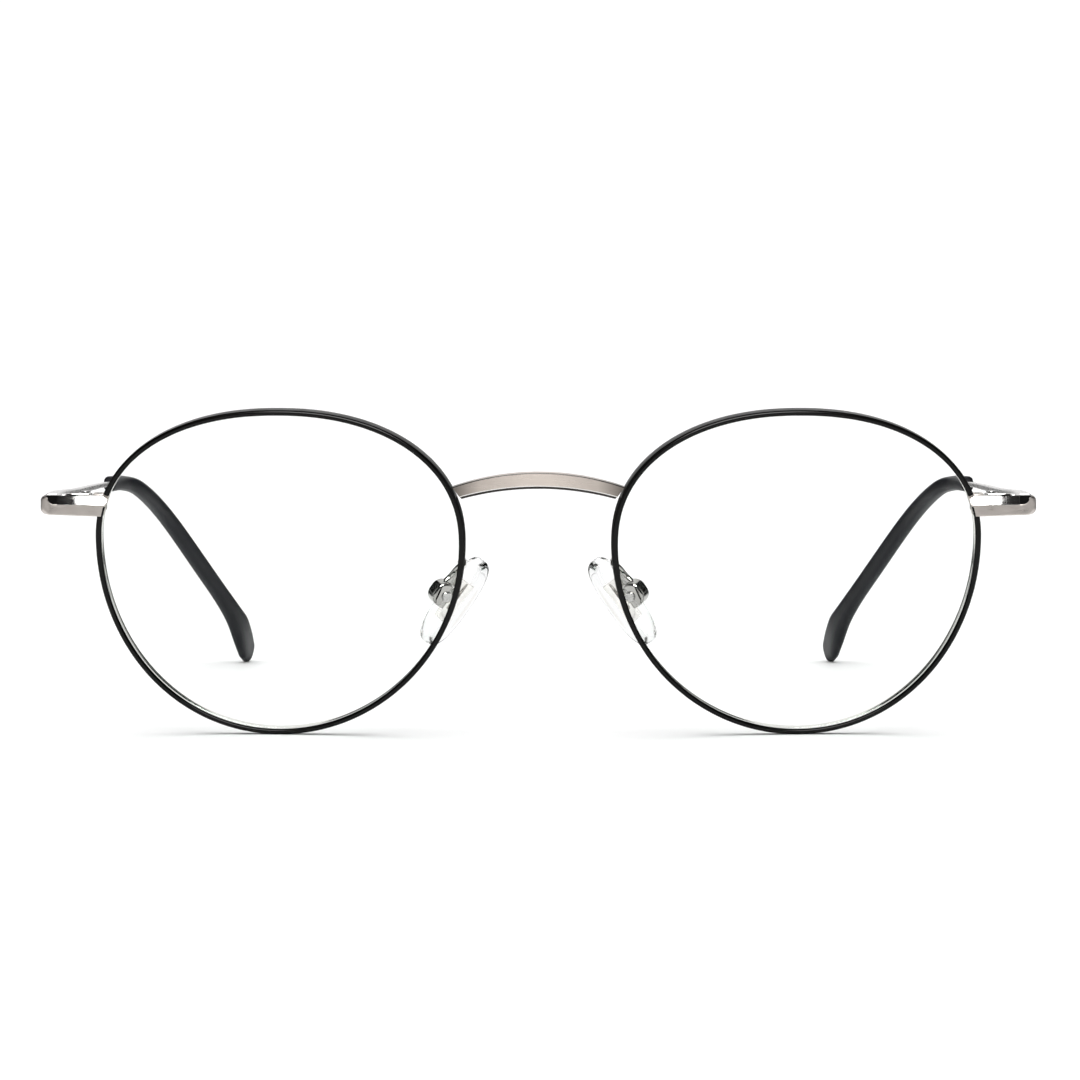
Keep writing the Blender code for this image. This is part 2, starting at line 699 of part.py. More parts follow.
def nose_pad(side, frame):
    """The box on the wire, its screw, and the clear pad on a metal insert whose lug the screw holds."""
    name = SIDES[side]
    hole = PAD_SCREW_RADIUS + RUNNING_CLEARANCE
    reach = BOX_HALF_WIDTH
    bore = cylinder(hole, (0, -2 * reach, 0), (0, 2 * reach, 0))
    shell = plate(box_outline(), BOX_HALF_WIDTH, BOX_ROUNDING)
    shell.transform(Matrix.Rotation(pi / 2, 4, "X"))
    cup = add("pad_box_" + name, shell, frame, "polished_silver", side)
    room = (BOX_MOUTH - MM, -LUG_HALF_WIDTH - LUG_CLEARANCE, BOX_WALL - BOX_HALF_LENGTH)
    cut(cup, box(room, (BOX_BACK - BOX_FLOOR, -room[1], -room[2])), side)
    cut(cup, bore.copy(), side)
    start = (0, -reach - GAP, 0)
    head = (PAD_HEAD_RADIUS, PAD_HEAD_HEIGHT)
    screw("pad_screw_" + name, frame, side, start, (0, reach, 0), PAD_SCREW_RADIUS, *head)

    def insert_shape(grow):
        middle = Vector((PAD_MIDDLE, 0, 0))
        half = INSERT_HALF + Vector((grow, grow, grow))
        stem = box(
            (PAD_MIDDLE, -LUG_HALF_WIDTH - grow, -LUG_HALF_LENGTH - grow),
            (LUG_END + grow, LUG_HALF_WIDTH + grow, LUG_HALF_LENGTH + grow),
        )
        return box(middle - half, middle + half), stem

    flat, stem = insert_shape(0)
    insert = add("pad_insert_" + name, flat, frame, "polished_silver", side)
    join(insert, stem, side)
    cut(insert, bore.copy(), side)

    turns = [2 * pi * (i + 0.5) / PAD_STEPS for i in range(PAD_STEPS)]
    outline = [superellipse(a, PAD_HALF_WIDTH, PAD_HALF_LENGTH, PAD_POWER) for a in turns]
    body = plate(outline, PAD_HALF_THICKNESS, PAD_ROUNDING)
    body.transform(Matrix(((0, 0, 1, PAD_MIDDLE), (1, 0, 0, 0), (0, 1, 0, 0), (0, 0, 0, 1))))
    pad = add("nose_pad_" + name, body, frame, "clear_pad", side)
    for room in insert_shape(GAP):
        cut(pad, room, side)


def build_side(side, root):
    name = SIDES[side]

    def place(point):
        return Vector((point[0] * side, point[1], point[2]))

    turn = (PANTOSCOPIC_TILT, 0, FACE_WRAP * side)
    rim_frame = empty("rim_frame_" + name, root, place(RIM_CENTRE), turn)
    rim(side, rim_frame)
    lens(side, rim_frame)
    rim_lock(side, rim_frame)
    end_piece(side, root)
    pad_turn = pad_rotation()
    pad_turn.y *= side
    pad_turn.z *= side
    pad_frame = empty("pad_frame_" + name, root, place(PAD_SCREW_CENTRE), pad_turn)
    nose_pad(side, pad_frame)
    pad_arm(side, root)
    centre = Vector((HINGE_X, HINGE_Y, HINGE_CENTRE_Z))
    hinge_frame = empty("hinge_frame_" + name, root, place(centre))
    hinge_axis = empty("hinge_axis_" + name, root, place(centre))
    hinge(side, hinge_frame, hinge_axis)
    temple(side, hinge_axis, centre)
    temple_tip(side, hinge_axis, centre)


clear_scene()
PARTS = new_collection("round_wire_eyeglasses")
CUTTERS = new_collection("cutters", shown=False)
ROOT = empty("glasses_frame", None, (0, FRONT_Y, 0))
bridge(ROOT)
for each_side in SIDES:
    build_side(each_side, ROOT)
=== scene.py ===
"""Round wire eyeglasses standing open on a pale table: the visible pieces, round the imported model.

Lengths are millimetres times MM. Each piece is drawn for the side at +X and mirrored for the side at -X.
"""

import json
from math import atan, atan2, cos, pi, radians, sin, sqrt, tan

import bmesh
import bpy
from mathutils import Euler, Matrix, Vector


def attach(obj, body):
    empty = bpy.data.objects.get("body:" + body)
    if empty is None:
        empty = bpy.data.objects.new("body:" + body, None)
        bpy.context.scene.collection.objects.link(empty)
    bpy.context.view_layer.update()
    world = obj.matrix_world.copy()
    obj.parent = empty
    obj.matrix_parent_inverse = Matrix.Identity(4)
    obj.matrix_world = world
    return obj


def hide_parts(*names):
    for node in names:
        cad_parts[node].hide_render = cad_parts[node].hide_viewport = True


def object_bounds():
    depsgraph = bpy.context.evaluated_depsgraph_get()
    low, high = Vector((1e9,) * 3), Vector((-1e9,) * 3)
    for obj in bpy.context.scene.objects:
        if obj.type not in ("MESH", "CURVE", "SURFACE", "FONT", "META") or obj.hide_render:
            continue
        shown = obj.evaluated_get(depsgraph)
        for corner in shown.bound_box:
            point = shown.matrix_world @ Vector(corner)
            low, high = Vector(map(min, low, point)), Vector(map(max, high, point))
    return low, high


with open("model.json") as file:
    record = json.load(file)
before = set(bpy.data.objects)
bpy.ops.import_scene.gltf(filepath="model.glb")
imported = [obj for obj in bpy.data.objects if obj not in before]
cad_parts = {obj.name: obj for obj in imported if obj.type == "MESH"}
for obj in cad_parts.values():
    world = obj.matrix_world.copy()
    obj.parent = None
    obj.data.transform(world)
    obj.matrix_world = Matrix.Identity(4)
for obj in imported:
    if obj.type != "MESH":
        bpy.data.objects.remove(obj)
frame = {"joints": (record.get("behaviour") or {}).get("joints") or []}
cad_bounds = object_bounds()

MM = 0.001
RIGHT, LEFT = 1, -1
SIDES = {RIGHT: "right", LEFT: "left"}
MIRROR = Matrix.Scale(-1, 4, (1, 0, 0))


def joint_place(name):
    return Vector(next(j["pos_m"] for j in frame["joints"] if j["name"] == name))


# The hinge and pad screw centres, and the frame's own origin, which lies under the front of the rims.
HINGE = joint_place("fold_right")
PAD_CENTRE = joint_place("pad_rock_right")
HINGE_IN_FRAME = Vector((62.9, 1.95, 32.2)) * MM
ORIGIN = HINGE - HINGE_IN_FRAME

PANTOSCOPIC_TILT = radians(8)
FACE_WRAP = radians(5)

RIM_CENTRE = Vector((35.62, -2.86, 27.161)) * MM
RIM_HALF_WIDTH = 25.62 * MM
RIM_ABOVE = 18.34 * MM
RIM_BELOW = 27.31 * MM
RIM_POWER_ABOVE = 2.19
RIM_POWER_BELOW = 2.02
RIM_LEAN_BELOW = 0.65 * MM
RIM_STEPS = 288
RIM_FACE = 0.78 * MM
RIM_HALF_DEPTH = 1.2 * MM
RIM_CROWN = 0.36 * MM
CROWN_STEPS = 8
RIM_ROUNDING = 0.15 * MM
GROOVE_DEPTH = 0.3 * MM
GROOVE_HALF_WIDTH = 0.42 * MM
SLIT_HEIGHT = 4.9 * MM
SLIT_HALF = 0.1 * MM
BARE_LOW = 3.5 * MM
BARE_HIGH = 6.25 * MM

LENS_HALF_THICKNESS = 0.65 * MM
LENS_BULGE = 2.4 * MM
LENS_RINGS = 18

LOCK_LOW = Vector((24.5, 1.24, 0)) * MM
LOCK_HIGH = Vector((26.3, 2.9, 0)) * MM
LOCK_HEIGHT = 1.15 * MM
LOCK_SCREW_RADIUS = 0.4 * MM
LOCK_HEAD_RADIUS = 0.64 * MM
LOCK_HEAD_HEIGHT = 0.32 * MM

BRIDGE_TOP = 36.7 * MM
BRIDGE_HEIGHT = 2.28 * MM
BRIDGE_TOP_RADIUS = 35.3 * MM
BRIDGE_BOTTOM_RADIUS = 38.3 * MM
BRIDGE_END_TOP = 11.72 * MM
BRIDGE_END_BOTTOM = 10.98 * MM
BRIDGE_HALF_DEPTH = 0.75 * MM
BRIDGE_Y = -6.05 * MM
BRIDGE_BOW = 0.34 * MM
BRIDGE_STEPS = 72

END_INNER_X = 61.02 * MM
END_FRONT_Y = -2.5 * MM
END_BACK_Y = -0.62 * MM
END_OUTER_X = 68.95 * MM
END_LEG_INNER_X = 66.4 * MM
END_CORNER_RADIUS = 2.2 * MM
END_FILLET_RADIUS = 0.8 * MM
END_TAPER = 0.15 * MM
END_CENTRE_Z = 31.95 * MM
END_HALF_HEIGHT = 1.35 * MM
END_FACET_HEIGHT = 1.25 * MM
END_FACET_ANGLE = radians(24)
END_FACET_FADE = 0.7 * MM
END_ROUNDING = 0.16 * MM
END_CORNER_ROUNDING = 0.8 * MM
END_BOW = 0.1 * MM
END_DROP = 0.24 * MM
END_OVERLAP = 0.56 * MM
END_FACE_STEPS = 16
END_CORNER_STEPS = 18
END_LEG_STEPS = 6

KNUCKLE_RADIUS = 0.95 * MM
KNUCKLE_HEIGHT = 0.84 * MM
GAP = 0.04 * MM
LEAF_HALF_WIDTH = 0.75 * MM
LEAF_THICKNESS = 0.6 * MM
LEAF_SETBACK = 1.0 * MM
TEMPLE_LEAF_THICKNESS = 0.65 * MM
TEMPLE_LEAF_LENGTH = 5.0 * MM
TEMPLE_LEAF_SHARE = 0.8
HINGE_HEAD_RADIUS = 0.72 * MM
HINGE_HEAD_HEIGHT = 0.26 * MM
HINGE_SCREW_RADIUS = 0.45 * MM

ARM_PATH = (
    (67.5, 1.98, 32.2),
    (67.38, 7.0, 32.45),
    (66.65, 13.0, 32.75),
    (66.35, 25.0, 32.6),
    (66.25, 60.0, 31.85),
    (65.8, 75.0, 31.45),
    (64.55, 85.0, 31.15),
    (62.4, 91.0, 29.9),
    (59.25, 101.0, 25.35),
    (54.3, 111.0, 16.8),
    (49.56, 121.0, 8.0),
    (47.73, 128.0, 1.85),
)
ARM_STEPS = 10
SLEEVE_START = 5
WIRE_WIDTH = ((0, 1.07), (1, 0.94), (2, 0.62), (4, 0.52), (5, 0.45), (6, 0.36), (10.5, 0.3))
WIRE_HEIGHT = ((0, 1.2), (1, 1.1), (2, 0.72), (3, 0.5), (4, 0.4), (5, 0.36), (10.5, 0.3))
SLEEVE_WIDTH = ((5, 0.92), (6, 0.98), (8, 1.1), (10, 1.15), (11, 0.95))
SLEEVE_HEIGHT = (
    (5, 1.2),
    (6, 1.15),
    (8, 1.3),
    (9, 1.38),
    (9.6, 1.45),
    (10, 1.88),
    (10.4, 2.85),
    (10.75, 2.98),
    (11, 2.21),
)
SLEEVE_NOSE = 1.19 * MM
WIRE_POWER = 5
SLEEVE_POWER = 2.6

PAD_TOE_IN = radians(35)
PAD_SPLAY = radians(25)
PAD_MIDDLE = -2.1 * MM
PAD_HALF_LENGTH = 7.0 * MM
PAD_HALF_WIDTH = 3.7 * MM
PAD_HALF_THICKNESS = 1.1 * MM
PAD_POWER = 2.3
PAD_SIDES = 96
INSERT_HALF = Vector((0.25, 1.75, 3.25)) * MM
LUG_HALF_WIDTH = 0.5 * MM
LUG_HALF_LENGTH = 0.8 * MM
LUG_END = 0.75 * MM
BOX_MOUTH = -0.68 * MM
BOX_BACK = 1.85 * MM
BOX_HALF_WIDTH = 1.3 * MM
BOX_HALF_LENGTH = 1.8 * MM
BOX_BACK_RADIUS = 1.45 * MM
BOX_MOUTH_RADIUS = 0.3 * MM
PAD_SCREW_RADIUS = 0.4 * MM
PAD_HEAD_RADIUS = 0.75 * MM
PAD_HEAD_HEIGHT = 0.32 * MM
PAD_ARM_ANGLE = radians(186.8)
PAD_ARM_RUN = 0.95 * MM
PAD_ARM_BEND = ((10.42, -0.4, 23.9), (10.55, 1.4, 23.45), (11.15, 2.75, 22.75))
PAD_ARM_STEPS = 8
PAD_ARM_SEAT = 0.3 * MM
PAD_ARM_THICKNESS = 1.1 * MM
PAD_ARM_WIDTH = ((0, 0.62), (0.5, 0.55), (3, 0.58), (5, 0.8), (6, 1.05))

FRONT_LAMP_PLACE = (0, -1.117, 0.938)
FRONT_LAMP_SIZE = (0.735, 0.8)
CAMERA_SHIFT = 0.221 * MM
CAMERA_DISTANCE = 0.7
CAMERA_HEIGHT = 0.0659
CAMERA_DOWN = atan(281 / 5059.35)
CAMERA_LENS = 168.645


# Finishes


class Graph:
    """A material's nodes, made in a line or two each."""

    def __init__(self, name):
        self.material = bpy.data.materials.new(name)
        self.material.use_nodes = True
        self.tree = self.material.node_tree
        self.shader = self.tree.nodes["Principled BSDF"]
        self.output = self.tree.nodes["Material Output"]

    def node(self, kind, **inputs):
        made = self.tree.nodes.new(kind)
        for key, value in inputs.items():
            socket = made.inputs[key.replace("_", " ")]
            if isinstance(value, bpy.types.NodeSocket):
                self.tree.links.new(value, socket)
            else:
                socket.default_value = value
        return made

    def link(self, source, target):
        self.tree.links.new(source, target)

    def set(self, **inputs):
        for key, value in inputs.items():
            self.shader.inputs[key.replace("_", " ")].default_value = value

    def noise(self, size, detail=4.0, stretch=(1, 1, 1), roughness=0.55):
        """Noise with grains about this many metres across, longer along an axis with less stretch."""
        place = self.node("ShaderNodeTexCoord").outputs["Object"]
        spread = self.node("ShaderNodeMapping", Vector=place, Scale=[s / size for s in stretch])
        made = self.node(
            "ShaderNodeTexNoise",
            Vector=spread.outputs["Vector"],
            Scale=1.0,
            Detail=detail,
            Roughness=roughness,
        )
        return made.outputs["Fac"]

    def ranged(self, source, low, high, start=0.3, end=0.7):
        made = self.node("ShaderNodeMapRange", Value=source)
        made.inputs["From Min"].default_value = start
        made.inputs["From Max"].default_value = end
        made.inputs["To Min"].default_value = low
        made.inputs["To Max"].default_value = high
        return made.outputs["Result"]

    def mixed(self, factor, first, second):
        made = self.node("ShaderNodeMix")
        made.data_type = "RGBA"
        self.link(factor, made.inputs["Factor"])
        for socket, value in ((made.inputs[6], first), (made.inputs[7], second)):
            if isinstance(value, bpy.types.NodeSocket):
                self.link(value, socket)
            else:
                socket.default_value = (*value, 1)
        return made.outputs[2]

    def bump(self, source, strength, distance):
        made = self.node("ShaderNodeBump", Height=source, Strength=strength, Distance=distance)
        self.link(made.outputs["Normal"], self.shader.inputs["Normal"])

    def color(self, source):
        self.link(source, self.shader.inputs["Base Color"])

    def roughness(self, source):
        self.link(source, self.shader.inputs["Roughness"])


def metal(name, light, dark, rough, grain, stretch, grain_bump, tint=0.35):
    """Metal with a fine directional grain, slow patches of tone and light handling marks."""
    made = Graph(name)
    made.set(Metallic=1.0)
    patches = made.noise(6 * MM, 3.0)
    fine = made.noise(grain, 5.0, stretch)
    tone = made.mixed(made.ranged(patches, 0.0, tint), light, dark)
    made.color(made.mixed(made.ranged(fine, 0.0, 0.3), tone, dark))
    marks = made.noise(1.2 * MM, 6.0, (1, 1, 1), 0.7)
    spread = made.node("ShaderNodeMath")
    spread.operation = "ADD"
    made.link(made.ranged(fine, -0.25 * rough, 0.25 * rough), spread.inputs[0])
    made.link(made.ranged(marks, 0.85 * rough, 1.2 * rough), spread.inputs[1])
    made.roughness(spread.outputs[0])
    made.bump(fine, grain_bump, 0.004 * MM)
    return made.material


def lacquer(name, specular, rough):
    """Black lacquer over metal: a faint orange peel and a few dull patches."""
    made = Graph(name)
    made.set(Specular_IOR_Level=specular)
    peel = made.noise(0.5 * MM, 3.0)
    patches = made.noise(4 * MM, 4.0)
    tone = made.mixed(made.ranged(patches, 0.0, 1.0), (0.0022, 0.0021, 0.0019), (0.0042, 0.004, 0.0037))
    made.color(tone)
    made.roughness(made.ranged(patches, rough, rough * 1.5))
    made.bump(peel, 0.12, 0.01 * MM)
    return made.material


def acetate(name):
    """Polished black sleeve material with a cool cast, faint depth and fine rubbed marks."""
    made = Graph(name)
    made.set(Specular_IOR_Level=0.12)
    depth = made.noise(3 * MM, 5.0, (1, 0.5, 1))
    made.color(made.mixed(made.ranged(depth, 0.0, 1.0), (0.006, 0.006, 0.009), (0.01, 0.01, 0.014)))
    rubbed = made.noise(0.6 * MM, 6.0, (1, 0.15, 1), 0.7)
    made.roughness(made.ranged(rubbed, 0.27, 0.33))
    made.bump(rubbed, 0.03, 0.004 * MM)
    return made.material


def clear_lens(name):
    """Coated lens: it lets nearly everything through and mirrors a little at a slant, with faint smears."""
    made = Graph(name)
    smears = made.noise(9 * MM, 5.0, (1, 1, 0.6), 0.6)
    through = made.node("ShaderNodeBsdfTransparent", Color=(0.985, 0.992, 0.988, 1))
    gloss = made.node("ShaderNodeBsdfGlossy", Color=(0.86, 0.95, 0.9, 1))
    made.link(made.ranged(smears, 0.015, 0.09), gloss.inputs["Roughness"])
    slant = made.node("ShaderNodeFresnel", IOR=1.16)
    blend = made.node("ShaderNodeMixShader")
    made.link(slant.outputs[0], blend.inputs[0])
    made.link(through.outputs[0], blend.inputs[1])
    made.link(gloss.outputs[0], blend.inputs[2])
    made.link(blend.outputs[0], made.output.inputs["Surface"])
    return made.material


def clear_pad(name):
    """Clear soft plastic, slightly clouded, with a fine moulded surface. Lamps reach what is behind it."""
    made = Graph(name)
    made.set(Transmission_Weight=1.0, IOR=1.26, Specular_IOR_Level=0.5)
    cloud = made.noise(2.5 * MM, 4.0)
    made.color(made.mixed(made.ranged(cloud, 0.0, 1.0), (0.985, 0.99, 0.99), (0.93, 0.94, 0.94)))
    made.roughness(made.ranged(made.noise(0.8 * MM, 4.0), 0.02, 0.07))
    made.bump(made.noise(1.2 * MM, 3.0), 0.05, 0.02 * MM)
    path = made.node("ShaderNodeLightPath")
    through = made.node("ShaderNodeBsdfTransparent", Color=(0.93, 0.94, 0.94, 1))
    blend = made.node("ShaderNodeMixShader")
    made.link(path.outputs["Is Shadow Ray"], blend.inputs[0])
    made.link(made.shader.outputs[0], blend.inputs[1])
    made.link(through.outputs[0], blend.inputs[2])
    made.link(blend.outputs[0], made.output.inputs["Surface"])
    return made.material


def painted_falloff_bridge_metal(name):
    """Satin metal with its reflection's falloff painted in: lighter at the middle, darker towards the
    soldered ends.
    """
    made = Graph(name)
    made.set(Metallic=1.0)
    place = made.node("ShaderNodeTexCoord").outputs["Object"]
    far = made.node("ShaderNodeMath")
    far.operation = "ABSOLUTE"
    made.link(made.node("ShaderNodeSeparateXYZ", Vector=place).outputs["X"], far.inputs[0])
    # Painted shade: the tone falls off from the middle and turns dark near the ends.
    painted_falloff = made.ranged(far.outputs[0], 0.0, 1.0, 1.5 * MM, 8.5 * MM)
    painted_end_shade = made.ranged(far.outputs[0], 0.0, 1.0, 8.2 * MM, 11.3 * MM)
    fine = made.noise(0.25 * MM, 5.0, (0.06, 1, 1))
    tone = made.mixed(painted_falloff, (0.737, 0.655, 0.592), (0.53, 0.472, 0.426))
    tone = made.mixed(painted_end_shade, tone, (0.18, 0.160, 0.142))
    made.color(made.mixed(made.ranged(fine, 0.0, 0.1), tone, (0.3, 0.28, 0.26)))
    made.roughness(made.ranged(fine, 0.24, 0.36))
    made.bump(fine, 0.15, 0.004 * MM)
    return made.material


# The light and dark tones of each metal.
SATIN = ((0.63, 0.58, 0.54), (0.51, 0.47, 0.44))
PALE_SATIN = ((0.87, 0.86, 0.85), (0.78, 0.77, 0.76))
POLISHED = ((0.86, 0.85, 0.83), (0.72, 0.70, 0.68))
MIRROR_TONES = ((0.62, 0.61, 0.60), (0.5, 0.49, 0.48))
PAD_TONES = ((0.5, 0.49, 0.47), (0.36, 0.35, 0.34))
BARE_TONES = ((0.97, 0.95, 0.92), (0.84, 0.82, 0.79))
# The next tones are not a metal's own: they paint dark reflection lines on the bridge and the end piece.
PAINTED_DARK_TONES = ((0.05, 0.045, 0.042), (0.02, 0.018, 0.017))
SCREW_TONES = ((0.66, 0.65, 0.64), (0.4, 0.39, 0.38))
FINISHES = {
    "lacquer": lacquer("black_lacquer", 0.18, 0.13),
    "lacquer_wall": lacquer("black_lacquer_wall", 0.07, 0.25),
    # Duller lacquer for the rims' edges and backs; on the end piece's corner it paints a dark reflection.
    "lacquer_edge_and_painted_reflection": lacquer("black_lacquer_edge", 0.02, 0.42),
    "satin": metal("satin_silver", *SATIN, 0.34, 0.22 * MM, (0.08, 1, 1), 0.2),
    "satin_arm": metal("satin_silver_arm", *PALE_SATIN, 0.3, 0.12 * MM, (1, 0.02, 1), 0.03),
    # The bridge's finish paints its reflection's falloff: light at the middle, dark at the ends.
    "bridge": painted_falloff_bridge_metal("bridge_silver_painted_shade"),
    "polished": metal("polished_silver", *POLISHED, 0.07, 0.12 * MM, (0.3, 1, 1), 0.05, 0.15),
    "mirror": metal("mirror_silver", *MIRROR_TONES, 0.03, 0.3 * MM, (0.2, 1, 1), 0.01, 0.15),
    "pad_metal": metal("polished_pad_metal", *PAD_TONES, 0.05, 0.12 * MM, (0.3, 1, 1), 0.03, 0.15),
    "bare_rim": metal("bare_rim_silver", *BARE_TONES, 0.07, 0.15 * MM, (1, 1, 1), 0.04, 0.5),
    # A painted dark reflection: near-black metal laid where lines of the bridge and end piece should look
    # dark.
    "painted_dark_reflection": metal("painted_dark_reflection_edge", *PAINTED_DARK_TONES, 0.25, 0.2 * MM, (0.1, 1, 1), 0.1),
    "screw": metal("screw_steel", *SCREW_TONES, 0.22, 0.08 * MM, (1, 1, 1), 0.12),
    "sleeve": acetate("black_acetate"),
    "lens": clear_lens("clear_lens"),
    "pad": clear_pad("clear_pad"),
}


# Shapes


def mesh_of(builder):
    shape = bmesh.new()
    builder(shape)
    bmesh.ops.recalc_face_normals(shape, faces=shape.faces)
    mesh = bpy.data.meshes.new("mesh")
    shape.to_mesh(mesh)
    shape.free()
    return mesh


def skin(rings, paint=None):
    """A closed skin through rings of points. paint gives a finish's number for strip j of stretch i."""

    def build(shape):
        made = [[shape.verts.new(point) for point in ring] for ring in rings]
        for i, (ring, after) in enumerate(zip(made, made[1:])):
            for j in range(len(ring)):
                k = (j + 1) % len(ring)
                face = shape.faces.new((ring[j], ring[k], after[k], after[j]))
                face.material_index = paint(i, j) if paint else 0
        shape.faces.new(made[0])
        shape.faces.new(made[-1])

    return mesh_of(build)


def joined(*meshes):
    """Several meshes as one, each keeping its place."""

    def build(shape):
        for mesh in meshes:
            shape.from_mesh(mesh)

    return mesh_of(build)


def rounded_box(low, high, rounding, segments=3):
    low = Vector(low)
    high = Vector(high)

    def build(shape):
        size = Matrix.Diagonal((*(high - low), 1))
        bmesh.ops.create_cube(shape, size=1, matrix=Matrix.Translation((low + high) / 2) @ size)
        bmesh.ops.bevel(
            shape,
            geom=shape.edges[:],
            offset=rounding,
            segments=segments,
            profile=0.5,
            affect="EDGES",
        )

    return mesh_of(build)


def lathe(profile, start, run, sides=40):
    """A closed turned shape: profile pairs are (how far along the run, radius), ending on the axis."""
    run = Vector(run).normalized()
    turned = run.to_track_quat("Z", "Y").to_matrix()
    start = Vector(start)
    rings = []
    for along, radius in profile:
        ring = []
        for i in range(sides):
            turn = 2 * pi * i / sides
            ring.append(start + turned @ Vector((radius * cos(turn), radius * sin(turn), along)))
        rings.append(ring)
    return skin(rings)


def carved(mesh, tool_mesh):
    """The mesh with the tool's shape cut away."""
    whole = bpy.data.objects.new("whole", mesh)
    tool = bpy.data.objects.new("tool", tool_mesh)
    for helper in (whole, tool):
        bpy.context.scene.collection.objects.link(helper)
    step = whole.modifiers.new("carve", "BOOLEAN")
    step.operation = "DIFFERENCE"
    step.object = tool
    step.solver = "EXACT"
    graph = bpy.context.evaluated_depsgraph_get()
    result = bpy.data.meshes.new_from_object(whole.evaluated_get(graph))
    for helper in (whole, tool):
        bpy.data.objects.remove(helper)
    return result


def slotted_screw(start, end, radius, head_radius, head_height):
    """A screw whose domed head is before start, with a straight slot, and a shank from start to end."""
    start = Vector(start)
    run = Vector(end) - start
    length = run.length
    run.normalize()
    dome = [(-head_height, head_radius * 0.72), (-head_height * 0.93, head_radius * 0.84)]
    dome += [(-head_height * 0.75, head_radius * 0.95), (-head_height * 0.5, head_radius)]
    dome += [(-head_height * 0.12, head_radius), (0, head_radius * 0.93)]
    tip = [(0, radius), (length - 0.12 * MM, radius), (length, radius * 0.72)]
    body = lathe(dome + tip, start, run)
    half = Vector((head_radius * 1.2, head_radius * 0.17, head_height * 0.42))
    slot = rounded_box(-half, half, 0.02 * MM, 1)
    turned = run.to_track_quat("Z", "Y").to_matrix().to_4x4()
    slot.transform(Matrix.Translation(start - run * head_height) @ turned)
    return carved(body, slot)


def piece(name, mesh, finishes, body, nodes, side, sharp=33):
    """A finished piece in the row frame: mirrored if need be, on its body, for its CAD nodes."""
    if side == LEFT:
        mesh.transform(MIRROR)
        mesh.flip_normals()
    mesh.name = name
    mesh.shade_smooth()
    mesh.set_sharp_from_angle(angle=radians(sharp))
    for i, finish in enumerate(finishes):
        if i < len(mesh.materials):
            mesh.materials[i] = FINISHES[finish]
        else:
            mesh.materials.append(FINISHES[finish])
    made = bpy.data.objects.new(name, mesh)
    bpy.context.scene.collection.objects.link(made)
    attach(made, body)
    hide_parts(*nodes)


def placed(mesh, centre, rotation=(0, 0, 0)):
    """The mesh moved from a part's own frame to the row frame."""
    turn = rotation if isinstance(rotation, Matrix) else Euler(rotation).to_matrix()
    mesh.transform(Matrix.Translation(ORIGIN + centre) @ turn.to_4x4())
    return mesh


def arc(centre, radius, start, end, steps):
    turns = [start + (end - start) * i / steps for i in range(steps + 1)]
    return [Vector((centre[0] + radius * cos(a), centre[1] + radius * sin(a))) for a in turns]


def smooth_path(points, steps):
    """A Catmull-Rom curve through the points, with this many steps to each stretch."""
    ends = [2 * points[0] - points[1], *points, 2 * points[-1] - points[-2]]
    path = []
    for before, start, end, after in zip(ends, ends[1:], ends[2:], ends[3:]):
        for step in range(steps):
            t = step / steps
            path.append(
                0.5
                * (
                    2 * start
                    + (end - before) * t
                    + (2 * before - 5 * start + 4 * end - after) * t**2
                    + (3 * start - before - 3 * end + after) * t**3
                )
            )
    return [*path, points[-1]]


def smooth_between(values, place):
    """The value at this place along a row of (place, value) pairs, without kinks."""
    slopes = [(b[1] - a[1]) / (b[0] - a[0]) for a, b in zip(values, values[1:])]
    for i, ((start, first), (end, last)) in enumerate(zip(values, values[1:])):
        if place <= end:
            before = slopes[i - 1] if i else slopes[i]
            after = slopes[i + 1] if i + 1 < len(slopes) else slopes[i]
            leaving = 0 if before * slopes[i] <= 0 else (before + slopes[i]) / 2
            arriving = 0 if after * slopes[i] <= 0 else (after + slopes[i]) / 2
            span = end - start
            t = (place - start) / span
            rise = first * (2 * t**3 - 3 * t**2 + 1) + last * (3 * t**2 - 2 * t**3)
            return rise + span * (leaving * (t**3 - 2 * t**2 + t) + arriving * (t**3 - t**2))
    return values[-1][1]


def superellipse(angle, half_width, half_height, power):
    across = abs(cos(angle)) ** (2 / power) * half_width
    up = abs(sin(angle)) ** (2 / power) * half_height
    return Vector((across if cos(angle) > 0 else -across, up if sin(angle) > 0 else -up))


def section(centre, across, up, half_width, half_height, power, sides):
    turns = [2 * pi * (i + 0.5) / sides for i in range(sides)]
    flat = [superellipse(turn, half_width, half_height, power) for turn in turns]
    return [centre + across * point.x + up * point.y for point in flat]


# Rims, lenses and locks


def rim_point(angle, inset=0.0):
    """A point of the rim's outline in its plane: x towards the temple, y up. inset is inwards."""

    def on_outline(turn):
        if sin(turn) > 0:
            return superellipse(turn, RIM_HALF_WIDTH, RIM_ABOVE, RIM_POWER_ABOVE)
        point = superellipse(turn, RIM_HALF_WIDTH, RIM_BELOW, RIM_POWER_BELOW)
        point.x += RIM_LEAN_BELOW * (point.y / RIM_BELOW) ** 2
        return point

    nudge = radians(0.5)
    along = (on_outline(angle + nudge) - on_outline(angle - nudge)).normalized()
    return on_outline(angle) + Vector((-along.y, along.x)) * inset


def slit_angle(height):
    rise = (height / RIM_ABOVE) ** RIM_POWER_ABOVE
    return atan2(sqrt(rise), sqrt(1 - rise))


